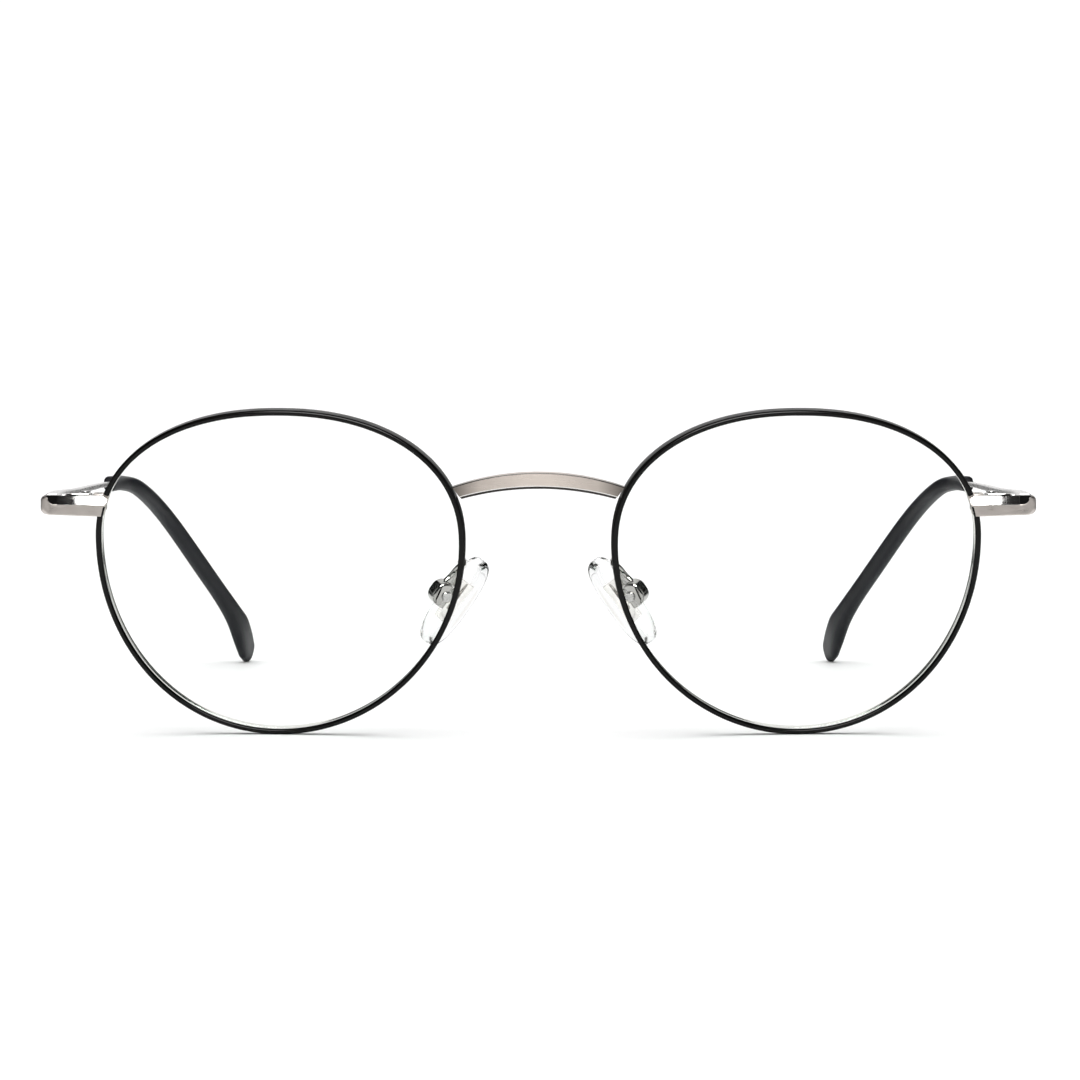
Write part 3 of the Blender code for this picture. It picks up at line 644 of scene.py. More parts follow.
def rim_section():
    """(x inwards, y across the depth, finish of the strip that follows) round the wire's section.

    0 is gloss lacquer, 1 bare metal and 3 the duller lacquer of the edges and the back.
    """
    crown, r = RIM_CROWN, RIM_ROUNDING
    wall, deep = RIM_FACE, RIM_HALF_DEPTH
    outer = arc((crown, crown - deep), crown, pi, 3 * pi / 2, CROWN_STEPS)
    points = [(*p, 3 if i < 3 else 0) for i, p in enumerate(outer)]
    inner = arc((wall - crown, crown - deep), crown, 3 * pi / 2, 2 * pi, CROWN_STEPS)
    points += [(*p, 3 if i > 5 else 0) for i, p in enumerate(inner)]
    points[-1] = (*points[-1][:2], 1)
    points += [(wall, -GROOVE_HALF_WIDTH, 1), (wall - GROOVE_DEPTH, 0, 1), (wall, GROOVE_HALF_WIDTH, 1)]
    points += [(*p, 3) for p in arc((wall - r, deep - r), r, 0, pi / 2, 4)]
    points += [(*p, 3) for p in arc((r, deep - r), r, pi / 2, pi, 4)]
    return points


def end_face(x, z):
    """How far back the end piece's front is at a place on it: its face, or the facet above that."""
    above = max(0.0, z - (END_CENTRE_Z + END_HALF_HEIGHT - END_FACET_HEIGHT))
    return END_FRONT_Y + (x - END_INNER_X) * tan(FACE_WRAP) + above * tan(END_FACET_ANGLE)


def rim(side, body):
    start = slit_angle(SLIT_HEIGHT + SLIT_HALF)
    end = slit_angle(SLIT_HEIGHT - SLIT_HALF) + 2 * pi
    turns = [start + (end - start) * i / RIM_STEPS for i in range(RIM_STEPS + 1)]
    # Closer rings beside the slit keep its edges crisp.
    close = 0.06 * MM / RIM_HALF_WIDTH
    turns = [start, start + close, *turns[1:-1], end - close, end]
    profile = rim_section()
    front = 2 * (CROWN_STEPS + 1)
    rings = []
    heights = []
    for turn in turns:
        outer = rim_point(turn)
        inward = (rim_point(turn, RIM_FACE) - outer) / RIM_FACE
        heights.append((outer.x, outer.y))
        bare = outer.x > 0 and BARE_LOW < outer.y < BARE_HIGH
        shrink = 0.94 if turn in (start, end) else 1.0
        ring = []
        for j, (x, y, _) in enumerate(profile):
            deep = (x - RIM_FACE / 2) * shrink + RIM_FACE / 2
            flat = outer + inward * deep
            if bare and j < front:
                y = (y + RIM_HALF_DEPTH) * 0.25 - RIM_HALF_DEPTH
            ring.append(Vector((flat.x, y * shrink, flat.y)))
        rings.append(ring)

    def paint(i, j):
        x, y = heights[i]
        if x > 0 and BARE_LOW < y < BARE_HIGH:
            return 0 if CROWN_STEPS + 1 < j < front and y < SLIT_HEIGHT else 2
        if j == len(profile) - 1:
            return 4 if y > 0.35 * RIM_ABOVE else 3
        if y < -0.3 * RIM_BELOW and 11 < j < front - 1:
            return 3
        return profile[j][2]

    name = "rim_" + SIDES[side]
    mesh = placed(skin(rings, paint), RIM_CENTRE, (PANTOSCOPIC_TILT, 0, FACE_WRAP))
    # The front is ground back where the end piece lies over it.
    for i, (x, y) in enumerate(heights):
        if x > 0 and BARE_LOW < y < BARE_HIGH:
            for vertex in mesh.vertices[i * len(profile) : i * len(profile) + front]:
                here = vertex.co - ORIGIN
                vertex.co.y = max(vertex.co.y, ORIGIN.y + end_face(here.x, here.z) + 0.03 * MM)
    names = ("lacquer", "bare_rim", "satin", "lacquer_edge_and_painted_reflection", "lacquer_wall")
    piece(name + "_wire", mesh, names, body, [name], side, 40)


def lens(side, body):
    """Front and back skins curved alike, joined by the V edge that sits in the groove."""
    middle = Vector((0, (RIM_ABOVE - RIM_BELOW) / 2))
    turns = [2 * pi * i / RIM_STEPS for i in range(RIM_STEPS)]
    edge = [rim_point(a, RIM_FACE - 0.01 * MM) for a in turns]
    apex = [rim_point(a, RIM_FACE - GROOVE_DEPTH + 0.04 * MM) for a in turns]

    def ring(share, depth, outline):
        bulge = LENS_BULGE * (1 - share**2)
        flat = [middle + (point - middle) * share for point in outline]
        return [Vector((point.x, depth - bulge, point.y)) for point in flat]

    thick = LENS_HALF_THICKNESS
    shares = [(i + 0.35) / LENS_RINGS for i in range(LENS_RINGS)] + [1.0]
    rings = [ring(share, -thick, edge) for share in shares]
    foot = GROOVE_HALF_WIDTH * 0.8
    rings += [ring(1, -foot, edge), ring(1, 0, apex), ring(1, foot, edge)]
    rings += [ring(share, thick, edge) for share in reversed(shares)]
    name = "lens_" + SIDES[side]
    mesh = placed(skin(rings), RIM_CENTRE, (PANTOSCOPIC_TILT, 0, FACE_WRAP))
    piece(name + "_clear", mesh, ("lens",), body, [name], side)


def rim_lock(side, body):
    middle = (LOCK_LOW + LOCK_HIGH) / 2
    below = SLIT_HEIGHT - SLIT_HALF - LOCK_HEIGHT
    above = SLIT_HEIGHT + SLIT_HALF
    tilt = (PANTOSCOPIC_TILT, 0, FACE_WRAP)
    for name, z in (("lower", below), ("upper", above)):
        low = Vector((LOCK_LOW.x, LOCK_LOW.y - 0.08 * MM, z))
        high = Vector((LOCK_HIGH.x, LOCK_HIGH.y, z + LOCK_HEIGHT))
        block = placed(rounded_box(low, high, 0.26 * MM, 4), RIM_CENTRE, tilt)
        node = f"rim_lock_{name}_{SIDES[side]}"
        piece(node + "_block", block, ("satin",), body, [node], side, 60)
    bottom = (middle.x, middle.y, below - GAP)
    top = (middle.x, middle.y, above + LOCK_HEIGHT + GAP)
    mesh = slotted_screw(bottom, top, LOCK_SCREW_RADIUS, LOCK_HEAD_RADIUS, LOCK_HEAD_HEIGHT)
    node = "rim_lock_screw_" + SIDES[side]
    piece(node + "_turned", placed(mesh, RIM_CENTRE, tilt), ("screw",), body, [node], side)


# Bridge


def bridge(body):
    """An arched strip with a flat satin face, a bright lower bevel, and painted dark reflection lines on the
    underside, the foot of the bevel and the top front edge.
    """
    reach = 1.012
    front = BRIDGE_HALF_DEPTH
    rings = []
    for i in range(BRIDGE_STEPS + 1):
        t = reach * (2 * i / BRIDGE_STEPS - 1)
        top_x = BRIDGE_END_TOP * t
        low_x = BRIDGE_END_BOTTOM * t * (1 - 0.045 * t**8)
        top_drop = BRIDGE_TOP_RADIUS - sqrt(BRIDGE_TOP_RADIUS**2 - top_x**2)
        low_drop = BRIDGE_BOTTOM_RADIUS - sqrt(BRIDGE_BOTTOM_RADIUS**2 - low_x**2)
        top = Vector((top_x, BRIDGE_HEIGHT / 2 - top_drop))
        low = Vector((low_x, -BRIDGE_HEIGHT / 2 - low_drop))
        height = (top - low).length
        face = front - BRIDGE_BOW * t**2
        outline = (
            (0.0, face - 0.5 * MM),
            (0.2 * MM, face - 0.3 * MM),
            (0.38 * MM, face - 0.13 * MM),
            (0.52 * MM, face - 0.02 * MM),
            (0.55 * MM, face),
            (height - 0.14 * MM, face),
            (height - 0.04 * MM, face - 0.05 * MM),
            (height, face - 0.16 * MM),
            (height, 0.2 * MM - front),
            (height - 0.06 * MM, 0.06 * MM - front),
            (height - 0.2 * MM, -front),
            (0.2 * MM, -front),
            (0.06 * MM, 0.06 * MM - front),
            (0.0, 0.2 * MM - front),
        )
        up = (top - low) / height
        rings.append([Vector((*(low + up * h), depth)) for h, depth in outline])
    # Strips 0, 1, 5, 6, 12 and 13 take the painted dark reflection finish; strip 2 is the bright bevel.
    finishes = (2, 2, 1, 0, 0, 2, 2, 0, 0, 0, 0, 0, 2, 2)
    mesh = skin(rings, lambda i, j: finishes[j])
    place = Vector((0, BRIDGE_Y, BRIDGE_TOP - BRIDGE_HEIGHT / 2))
    mesh = placed(mesh, place, (pi / 2 + PANTOSCOPIC_TILT, 0, 0))
    names = ("bridge", "bare_rim", "painted_dark_reflection")
    piece("bridge_strip", mesh, names, body, ["bridge"], RIGHT, 15)


# End pieces and hinges


def end_piece(side, body):
    """A corner bar with a polished facet along the top of its satin face.

    Each section runs from the foot of the front up to the top, and down the back.
    """
    joint = HINGE_IN_FRAME.y - GAP / 2
    radius = END_CORNER_RADIUS
    run = END_OUTER_X - radius - END_INNER_X
    centre = (END_OUTER_X - radius, END_FRONT_Y + radius + run * sin(FACE_WRAP))
    corner = arc(centre, radius, FACE_WRAP - pi / 2, radians(4), END_CORNER_STEPS)
    fillet = (END_LEG_INNER_X - END_FILLET_RADIUS, END_BACK_Y + END_FILLET_RADIUS)
    inside = arc(fillet, END_FILLET_RADIUS, -pi / 2, 0, END_CORNER_STEPS)
    start = Vector((END_INNER_X - MM, END_FRONT_Y - MM * tan(FACE_WRAP)))
    pairs = []
    for i in range(END_FACE_STEPS):
        share = i / END_FACE_STEPS
        outer = start.lerp(corner[0], share)
        inner = Vector((start.x, END_BACK_Y)).lerp(inside[0], share)
        pairs.append((outer, inner))
    pairs += list(zip(corner, inside))
    last_outer = Vector((END_OUTER_X - END_TAPER, joint))
    last_inner = Vector((END_LEG_INNER_X, joint))
    for i in range(1, END_LEG_STEPS + 1):
        share = i / END_LEG_STEPS
        pairs.append((corner[-1].lerp(last_outer, share), inside[-1].lerp(last_inner, share)))
    along = (corner[0] - start).normalized()
    outward = Vector((along.y, -along.x))
    slope = tan(END_FACET_ANGLE)
    high = END_HALF_HEIGHT
    r = END_ROUNDING
    rings = []
    for i, (outer, inner) in enumerate(pairs):
        # The front of the section is square to the surface there, not slanted to the back.
        if i < END_FACE_STEPS:
            square = -outward
        elif i <= END_FACE_STEPS + END_CORNER_STEPS:
            square = (Vector(centre) - outer).normalized()
        else:
            square = Vector((-1, 0))
        behind = max(0.0, -(outer - start).dot(outward))
        depth = (inner - outer).length
        edge = high - END_FACET_HEIGHT + behind / slope
        has_facet = edge < high - 0.16 * MM
        edge = min(edge, high - 0.16 * MM)
        least = 0.06 * MM
        top_depth = max(END_FACET_HEIGHT * slope - behind, least) if has_facet else least
        rise = high - 0.1 * MM - edge
        turned = min(behind / END_FACET_FADE, 1)
        turned = turned * turned * (3 - 2 * turned)
        big = r + (END_CORNER_ROUNDING - r) * turned
        ahead = min(max((outer - start).dot(along) / (corner[0] - start).length, 0), 1)
        low = high + END_DROP * (1 - ahead)
        bow = END_BOW * (2 * ahead - ahead**2) * (1 - turned)
        low_corner = arc((big, big - low), big, 3 * pi / 2, pi, 5)
        facet_top = top_depth * rise / (rise + 0.1 * MM)
        facet = (
            (0, edge - 0.06 * MM),
            (0.02 * MM, edge + 0.02 * MM),
            (facet_top / 2, (high - 0.1 * MM + edge) / 2),
            (facet_top, high - 0.1 * MM),
            (top_depth + 0.07 * MM, high),
        )
        top_corner = arc((big, high - big), big, pi, pi / 2, 4)
        front = (*low_corner, *(Vector(f).lerp(c, turned) for f, c in zip(facet, top_corner)))
        back = (
            (depth - r, high),
            (depth - 0.3 * r, high - 0.3 * r),
            (depth, high - r),
            (depth, r - low),
            (depth - 0.3 * r, 0.3 * r - low),
            (depth - r, -low),
        )
        bowed = outer + outward * bow
        through = (inner - outer) / depth
        ring = [Vector((*(bowed + square * d), END_CENTRE_Z + z)) for d, z in front]
        rings.append(ring + [Vector((*(bowed + through * d), END_CENTRE_Z + z)) for d, z in back])
    # The inner end follows the inner edge of the rim's face.
    for point in rings[0]:
        height = (point.z - RIM_CENTRE.z) / cos(PANTOSCOPIC_TILT)
        rise = (height / RIM_ABOVE) ** RIM_POWER_ABOVE
        reach = RIM_HALF_WIDTH * (1 - rise) ** (1 / RIM_POWER_ABOVE) - END_OVERLAP
        point.x = RIM_CENTRE.x + reach * cos(FACE_WRAP) + RIM_HALF_DEPTH * sin(FACE_WRAP)
        shift = point.x - start.x
        point.y += shift * tan(FACE_WRAP)
    # Strip 9, the top edge above the facet, is painted dark: a painted dark reflection line.
    finishes = (0, 0, 0, 0, 0, 0, 1, 3, 3, 2, 1, 1, 0, 0, 0, 0, 0)

    def paint(i, j):
        # Round the corner the facet's line ends, and the facet runs out in a point; there its corner is
        # painted matt black, a painted dark reflection.
        last = {6: 14, 7: 20, 8: 24}.get(j)
        if last is None or i < END_FACE_STEPS - 1:
            return finishes[j]
        return 0 if i > last else 4

    name = "end_piece_" + SIDES[side]
    mesh = placed(skin(rings, paint), Vector())
    names = ("satin", "polished", "painted_dark_reflection", "mirror", "lacquer_edge_and_painted_reflection")
    piece(name + "_corner", mesh, names, body, [name], side, 7)


def knuckle(level):
    """A short turned barrel with eased edges, at level -1, 0 or 1 of the hinge."""
    middle = level * (KNUCKLE_HEIGHT + GAP)
    half = KNUCKLE_HEIGHT / 2
    ease = 0.07 * MM
    radius = KNUCKLE_RADIUS
    profile = [(0, radius - ease), (ease * 0.3, radius - ease * 0.3), (ease, radius)]
    profile += [(2 * half - along, radius) for along, radius in reversed(profile)]
    return lathe(profile, (0, 0, middle - half), (0, 0, 1))


def hinge(side, body, moving_body):
    tall = 1.5 * KNUCKLE_HEIGHT + GAP
    base_front = END_BACK_Y + GAP - HINGE_IN_FRAME.y
    half = LEAF_HALF_WIDTH
    inner = END_LEG_INNER_X - HINGE_IN_FRAME.x - GAP
    low = (-half, base_front - 0.06 * MM, -tall)
    high = (inner - LEAF_SETBACK + GAP, base_front + LEAF_THICKNESS, tall)
    leaves = [rounded_box(low, high, 0.1 * MM)]
    for level in (-1, 1):
        middle = level * (KNUCKLE_HEIGHT + GAP)
        low = (-half, base_front + LEAF_THICKNESS / 2, middle - KNUCKLE_HEIGHT / 2)
        high = (half, 0, middle + KNUCKLE_HEIGHT / 2)
        leaves += [rounded_box(low, high, 0.05 * MM), knuckle(level)]
    node = "hinge_front_" + SIDES[side]
    front = placed(joined(*leaves), HINGE_IN_FRAME)
    piece(node + "_leaf", front, ("polished",), body, [node], side, 40)

    low = (inner - TEMPLE_LEAF_THICKNESS, GAP, -tall * TEMPLE_LEAF_SHARE)
    high = (inner + 0.03 * MM, TEMPLE_LEAF_LENGTH, tall * TEMPLE_LEAF_SHARE)
    leaf = rounded_box(low, high, 0.1 * MM)
    low = (0, GAP, -KNUCKLE_HEIGHT / 2)
    high = (inner - TEMPLE_LEAF_THICKNESS / 2, KNUCKLE_RADIUS - GAP, KNUCKLE_HEIGHT / 2)
    node = "hinge_temple_" + SIDES[side]
    moving = placed(joined(leaf, rounded_box(low, high, 0.05 * MM), knuckle(0)), HINGE_IN_FRAME)
    piece(node + "_leaf", moving, ("polished",), moving_body, [node], side, 40)

    node = "hinge_screw_" + SIDES[side]
    start = (0, 0, tall + GAP)
    end = (0, 0, -tall - 0.05 * MM)
    mesh = slotted_screw(start, end, HINGE_SCREW_RADIUS, HINGE_HEAD_RADIUS, HINGE_HEAD_HEIGHT)
    piece(node + "_turned", placed(mesh, HINGE_IN_FRAME), ("screw",), body, [node], side)


# Temples and sleeves


def arm_stations():
    """Places along the arm: centre, and the directions across and up its section."""
    path = smooth_path([Vector(point) * MM for point in ARM_PATH], ARM_STEPS)
    stations = []
    for i, centre in enumerate(path):
        along = (path[min(i + 1, len(path) - 1)] - path[max(i - 1, 0)]).normalized()
        if i == 0:
            along = Vector((0, 1, 0))
        across = along.cross(Vector((0, 0, 1))).normalized()
        stations.append((i / ARM_STEPS, centre, across, across.cross(along)))
    return stations


def arm_ring(station, widths, heights, power, sides, share=1.0, grow=0.0):
    place, centre, across, up = station
    half_width = smooth_between(widths, place) * MM * share + grow
    half_height = smooth_between(heights, place) * MM * share + grow
    return section(centre, across, up, half_width, half_height, power, sides)


def moved_on(station, forward):
    place, centre, across, up = station
    return place, centre + up.cross(across) * forward, across, up


def temple(side, body):
    stations = [s for s in arm_stations() if s[0] <= SLEEVE_START + 0.6]
    rings = [arm_ring(stations[0], WIRE_WIDTH, WIRE_HEIGHT, WIRE_POWER, 32, 0.93)]
    rings.append(arm_ring(moved_on(stations[0], 0.08 * MM), WIRE_WIDTH, WIRE_HEIGHT, WIRE_POWER, 32))
    rings += [arm_ring(s, WIRE_WIDTH, WIRE_HEIGHT, WIRE_POWER, 32) for s in stations[1:]]
    node = "temple_" + SIDES[side]
    mesh = placed(skin(rings), Vector())
    piece(node + "_bar", mesh, ("satin_arm",), body, [node], side, 50)


def temple_tip(side, body):
    stations = [s for s in arm_stations() if s[0] >= SLEEVE_START]
    sizes = (SLEEVE_WIDTH, SLEEVE_HEIGHT, SLEEVE_POWER, 36)
    wire = (WIRE_WIDTH, WIRE_HEIGHT, WIRE_POWER, 36)
    first, last = stations[0], stations[-1]
    # A blind mouth round the wire, then the rounded lip, the skin and the rounded end.
    rings = [arm_ring(moved_on(first, 0.6 * MM), *wire, grow=0.02 * MM)]
    rings.append(arm_ring(moved_on(first, 0.12 * MM), *wire, grow=0.04 * MM))
    for forward, share in ((0.0, 0.66), (0.0, 0.82), (0.06, 0.92), (0.2, 0.985), (0.45, 1.0)):
        rings.append(arm_ring(moved_on(first, forward * MM), *sizes, share=share))
    rings += [arm_ring(s, *sizes) for s in stations[1:]]
    for step in range(1, 12):
        turn = step / 12 * pi / 2
        rings.append(arm_ring(moved_on(last, SLEEVE_NOSE * sin(turn)), *sizes, share=cos(turn) ** 0.83))
    node = "temple_tip_" + SIDES[side]
    mesh = placed(skin(rings), Vector())
    piece(node + "_sleeve", mesh, ("sleeve",), body, [node], side, 60)


# Nose pads


def pad_rotation():
    """Turns local x to the pad's back, y to the rear along its width, z up along its length."""
    return Matrix.Rotation(-PAD_TOE_IN, 3, "Y") @ Matrix.Rotation(-PAD_SPLAY, 3, "Z")


def pad_arm(side, body):
    rim_turn = Euler((PANTOSCOPIC_TILT, 0, FACE_WRAP)).to_matrix()
    pad_turn = pad_rotation()
    start = rim_point(PAD_ARM_ANGLE, RIM_FACE / 2)
    pad_in_frame = PAD_CENTRE - ORIGIN

    def off_rim(reach):
        return RIM_CENTRE + rim_turn @ Vector((start.x, RIM_HALF_DEPTH + reach, start.y))

    def off_box(reach):
        top = Vector((PAD_ARM_SEAT, 0, BOX_HALF_LENGTH + reach))
        return pad_in_frame + pad_turn @ top

    bend = [Vector(point) * MM for point in PAD_ARM_BEND]
    points = [off_rim(-0.05 * MM), off_rim(PAD_ARM_RUN), *bend, off_box(PAD_ARM_RUN), off_box(-0.12 * MM)]
    path = smooth_path(points, PAD_ARM_STEPS)
    runs = [after - before for before, after in zip(path, path[2:])]
    runs = [points[1] - points[0], *runs, points[-1] - points[-2]]
    across = Vector((1, 0, 0))
    half_thick = PAD_ARM_THICKNESS / 2
    rings = []
    for i, (centre, run) in enumerate(zip(path, runs)):
        along = run.normalized()
        across = (across - along * across.dot(along)).normalized()
        half_width = smooth_between(PAD_ARM_WIDTH, i / PAD_ARM_STEPS) * MM
        rings.append(section(centre, across, across.cross(along), half_width, half_thick, 2.2, 24))
    node = "pad_arm_" + SIDES[side]
    mesh = placed(skin(rings), Vector())
    piece(node + "_wire", mesh, ("pad_metal",), body, [node], side, 50)


def box_outline(inset):
    """Side view of the pad's box: square at the mouth, rounded at the back."""
    low, high, tall = BOX_MOUTH, BOX_BACK, BOX_HALF_LENGTH
    small, large = BOX_MOUTH_RADIUS, BOX_BACK_RADIUS
    corners = (
        ((low + small, small - tall), small, pi, 3 * pi / 2),
        ((high - large, large - tall), large, 3 * pi / 2, 2 * pi),
        ((high - large, tall - large), large, 0, pi / 2),
        ((low + small, tall - small), small, pi / 2, pi),
    )
    points = []
    for centre, radius, start, end in corners:
        points += arc(centre, max(radius - inset, 0.02 * MM), start, end, 8)
    if inset:
        points = [Vector((max(p.x, low + inset), min(max(p.y, inset - tall), tall - inset))) for p in points]
    return points


def nose_pad(side, body, moving_body):
    centre = PAD_CENTRE - ORIGIN
    turn = pad_rotation()
    name = SIDES[side]
    wide = BOX_HALF_WIDTH
    ease = 0.38 * MM
    rings = []
    for step in range(13):
        t = step / 12 * 2 - 1
        lean = max(abs(t) - 0.5, 0) / 0.5
        inset = ease * (1 - sqrt(max(1 - lean**2, 0)))
        place = (wide - ease + ease * lean) if abs(t) > 0.5 else (wide - ease) * abs(t) / 0.5
        place = place if t > 0 else -place
        rings.append([Vector((p.x, place, p.y)) for p in box_outline(inset)])
    shell = skin(rings)
    slot = rounded_box(
        (BOX_MOUTH - MM, -LUG_HALF_WIDTH - 0.06 * MM, -1.3 * MM),
        (1.15 * MM, LUG_HALF_WIDTH + 0.06 * MM, 1.3 * MM),
        0.05 * MM,
        1,
    )
    shell = placed(carved(shell, slot), centre, turn)
    node = "pad_box_" + name
    piece(node + "_shell", shell, ("pad_metal",), body, [node], side, 40)

    start = (0, -wide - GAP, 0)
    mesh = slotted_screw(start, (0, wide, 0), PAD_SCREW_RADIUS, PAD_HEAD_RADIUS, PAD_HEAD_HEIGHT)
    node = "pad_screw_" + name
    piece(node + "_turned", placed(mesh, centre, turn), ("screw",), body, [node], side)

    middle = Vector((PAD_MIDDLE, 0, 0))
    plate = rounded_box(middle - INSERT_HALF, middle + INSERT_HALF, 0.2 * MM)
    low = (PAD_MIDDLE, -LUG_HALF_WIDTH, -LUG_HALF_LENGTH)
    lug = rounded_box(low, (LUG_END, LUG_HALF_WIDTH, LUG_HALF_LENGTH), 0.15 * MM)
    node = "pad_insert_" + name
    insert = placed(joined(plate, lug), centre, turn)
    piece(node + "_plate", insert, ("bare_rim",), moving_body, [node], side, 50)

    turns = [2 * pi * (i + 0.5) / PAD_SIDES for i in range(PAD_SIDES)]
    thick = PAD_HALF_THICKNESS
    front_ease, back_ease = 0.95 * MM, 0.6 * MM
    rings = []

    def pad_ring(inset, depth):
        wide, tall = PAD_HALF_WIDTH - inset, PAD_HALF_LENGTH - inset
        shrunk = [superellipse(a, wide, tall, PAD_POWER) for a in turns]
        return [Vector((PAD_MIDDLE + depth, p.x, p.y)) for p in shrunk]

    for inset in (3.2, 2.6, 2.0, 1.4):
        rings.append(pad_ring(inset * MM, -thick))
    for step in range(9):
        a = step / 8 * pi / 2
        rings.append(pad_ring(front_ease * (1 - sin(a)), -thick + front_ease * (1 - cos(a))))
    for step in range(7):
        a = step / 6 * pi / 2
        rings.append(pad_ring(back_ease * (1 - cos(a)), thick - back_ease * (1 - sin(a))))
    for inset in (1.2, 2.0, 2.8):
        rings.append(pad_ring(inset * MM, thick))
    node = "nose_pad_" + name
    mesh = placed(skin(rings), centre, turn)
    piece(node + "_clear", mesh, ("pad",), moving_body, [node], side, 60)


# Stage


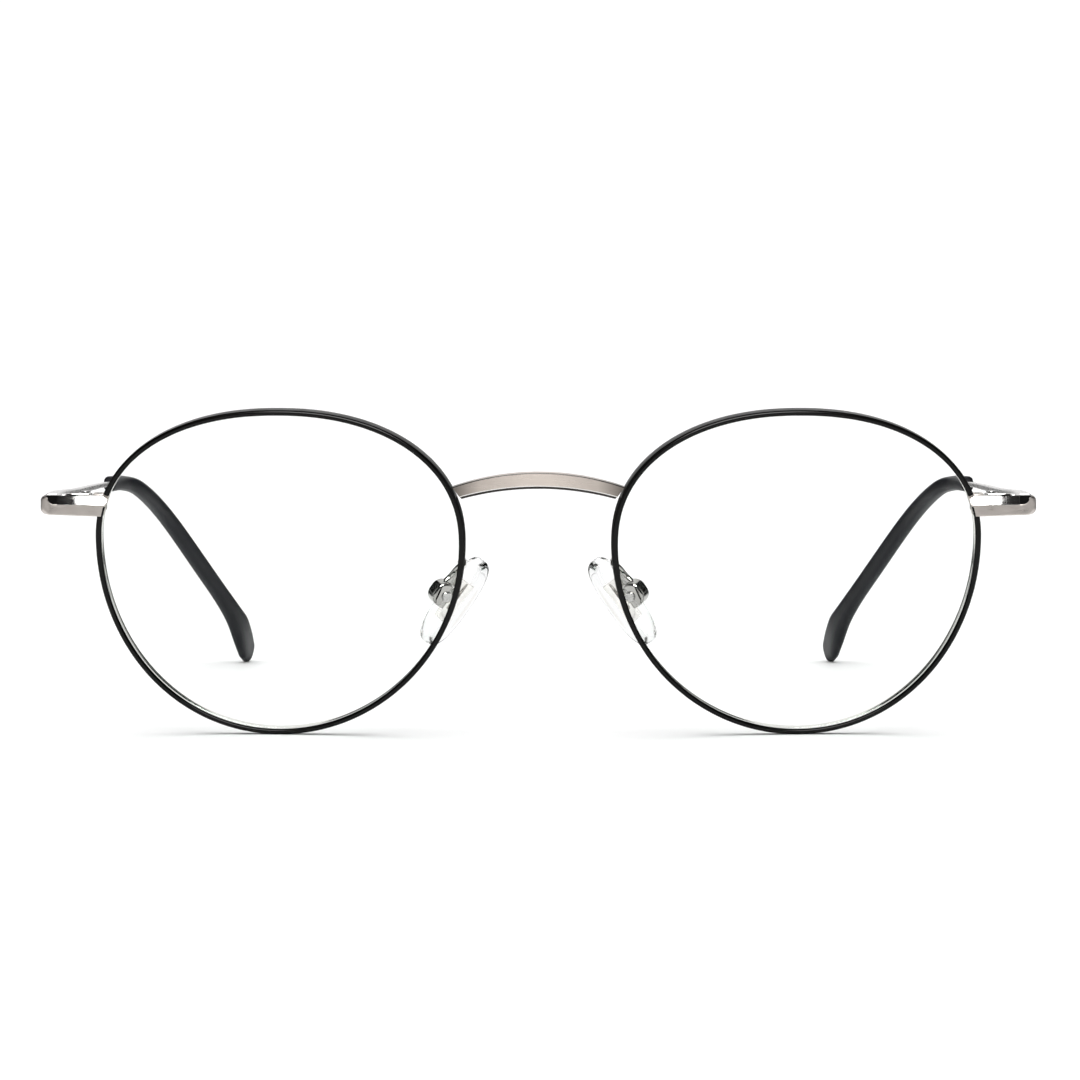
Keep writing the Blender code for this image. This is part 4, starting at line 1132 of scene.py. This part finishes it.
def stage():
    """Pale floor, pale surroundings, soft boxes and the camera."""
    scene = bpy.context.scene
    scene.view_settings.view_transform = "Standard"
    scene.view_settings.look = "None"

    ground = Graph("pale_table")
    grain = ground.noise(3 * MM, 4.0)
    ground.color(ground.mixed(ground.ranged(grain, 0.0, 1.0), (0.93, 0.93, 0.93), (0.95, 0.95, 0.95)))
    ground.roughness(ground.ranged(grain, 0.55, 0.65))
    ground.bump(grain, 0.05, 0.02 * MM)
    # What reflections see of the table is painted darker further from the object and behind it: a painted
    # falloff of the lamp's light, which hangs close to the object.
    path = ground.node("ShaderNodeLightPath")
    place = ground.node("ShaderNodeTexCoord").outputs["Object"]
    distance = ground.node("ShaderNodeVectorMath", Vector=place)
    distance.operation = "LENGTH"
    near = ground.ranged(distance.outputs["Value"], 0.8, 0.28, 0.14, 0.7)
    beyond = ground.node("ShaderNodeSeparateXYZ", Vector=place).outputs["Y"]
    shade = ground.node("ShaderNodeMath")
    shade.operation = "MULTIPLY"
    ground.link(near, shade.inputs[0])
    ground.link(ground.ranged(beyond, 1.0, 0.35, 0.05, 0.2), shade.inputs[1])
    dim = ground.node("ShaderNodeBsdfDiffuse", Color=shade.outputs[0])
    blend = ground.node("ShaderNodeMixShader")
    seen = ground.node("ShaderNodeMath")
    seen.operation = "MAXIMUM"
    ground.link(path.outputs["Is Camera Ray"], seen.inputs[0])
    ground.link(path.outputs["Is Transmission Ray"], seen.inputs[1])
    ground.link(seen.outputs[0], blend.inputs[0])
    ground.link(dim.outputs[0], blend.inputs[1])
    ground.link(ground.shader.outputs[0], blend.inputs[2])
    ground.link(blend.outputs[0], ground.output.inputs["Surface"])
    table = mesh_of(lambda shape: bmesh.ops.create_grid(shape, x_segments=8, y_segments=8, size=12.0))
    table.materials.append(ground.material)
    floor = bpy.data.objects.new("floor", table)
    floor.location.z = cad_bounds[0].z - 0.01 * MM
    scene.collection.objects.link(floor)

    world = bpy.data.worlds.new("studio")
    scene.world = world
    world.use_nodes = True
    tree = world.node_tree
    back = tree.nodes["Background"]
    back.inputs["Color"].default_value = (1, 1, 1, 1)
    back.inputs["Strength"].default_value = 1.05
    # What shiny surfaces see: a white panel behind, grey panels at the sides and overhead, dark between.
    room = tree.nodes.new("ShaderNodeBackground")
    path = tree.nodes.new("ShaderNodeLightPath")
    place = tree.nodes.new("ShaderNodeTexCoord")
    split = tree.nodes.new("ShaderNodeSeparateXYZ")
    blend = tree.nodes.new("ShaderNodeMixShader")
    tree.links.new(place.outputs["Generated"], split.inputs[0])

    def maths(kind, first, second=None):
        made = tree.nodes.new("ShaderNodeMath")
        made.operation = kind
        for socket, value in zip(made.inputs, (first, second)):
            if isinstance(value, bpy.types.NodeSocket):
                tree.links.new(value, socket)
            elif value is not None:
                socket.default_value = value
        return made.outputs[0]

    def ramped(value, start, end, low, high):
        made = tree.nodes.new("ShaderNodeMapRange")
        made.interpolation_type = "SMOOTHSTEP"
        tree.links.new(value, made.inputs["Value"])
        for socket, number in zip(("From Min", "From Max", "To Min", "To Max"), (start, end, low, high)):
            made.inputs[socket].default_value = number
        return made.outputs["Result"]

    sideways = maths("ABSOLUTE", split.outputs["X"])
    middle = ramped(sideways, 0.31, 0.38, 1.12, 0)
    behind = maths("MULTIPLY", middle, ramped(split.outputs["Y"], 0.1, 0.5, 0, 1))
    beside = ramped(sideways, 0.72, 0.9, 0, 0.75)
    above = ramped(split.outputs["Z"], 0.8, 0.95, 0, 0.35)
    total = maths("ADD", maths("ADD", behind, beside), maths("ADD", above, 0.02))
    tree.links.new(total, room.inputs["Strength"])
    seen = maths("MAXIMUM", path.outputs["Is Camera Ray"], path.outputs["Is Transmission Ray"])
    tree.links.new(seen, blend.inputs[0])
    tree.links.new(room.outputs[0], blend.inputs[1])
    tree.links.new(back.outputs[0], blend.inputs[2])
    tree.links.new(blend.outputs[0], tree.nodes["World Output"].inputs["Surface"])

    sun = bpy.data.lights.new("overhead_box", "SUN")
    sun.angle = radians(90)
    sun.energy = 3.2
    overhead = bpy.data.objects.new("overhead_box", sun)
    overhead.visible_glossy = False
    overhead.visible_transmission = False
    scene.collection.objects.link(overhead)

    # One front lamp is bright in reflections only, and its twin gives the same side its soft light.
    for name, radiance, glossy in (("front_box", 14.0, True), ("front_fill", 1.25, False)):
        light = bpy.data.lights.new(name, "AREA")
        light.shape = "RECTANGLE"
        light.size, light.size_y = FRONT_LAMP_SIZE
        light.energy = radiance * pi * light.size * light.size_y
        lamp = bpy.data.objects.new(name, light)
        lamp.location = FRONT_LAMP_PLACE
        lamp.rotation_mode = "QUATERNION"
        aim = Vector((0, ORIGIN.y, 0.02)) - Vector(FRONT_LAMP_PLACE)
        lamp.rotation_quaternion = aim.to_track_quat("-Z", "Y")
        lamp.visible_glossy = glossy
        lamp.visible_diffuse = not glossy
        lamp.visible_transmission = False
        lamp.visible_camera = False
        scene.collection.objects.link(lamp)

    view = bpy.data.cameras.new("camera")
    view.sensor_width = 36.0
    view.lens = CAMERA_LENS
    view.clip_start = 0.01
    view.clip_end = 50
    camera = bpy.data.objects.new("camera", view)
    camera.location = (CAMERA_SHIFT, ORIGIN.y - CAMERA_DISTANCE, CAMERA_HEIGHT)
    camera.rotation_euler = (pi / 2 - CAMERA_DOWN, 0, 0)
    scene.collection.objects.link(camera)
    scene.camera = camera


bridge("front")
for each_side, name_of_side in SIDES.items():
    arm_body = "temple_" + name_of_side
    rim(each_side, "front")
    lens(each_side, "front")
    rim_lock(each_side, "front")
    end_piece(each_side, "front")
    hinge(each_side, "front", arm_body)
    temple(each_side, arm_body)
    temple_tip(each_side, arm_body)
    pad_arm(each_side, "front")
    nose_pad(each_side, "front", "nose_pad_" + name_of_side)
stage()
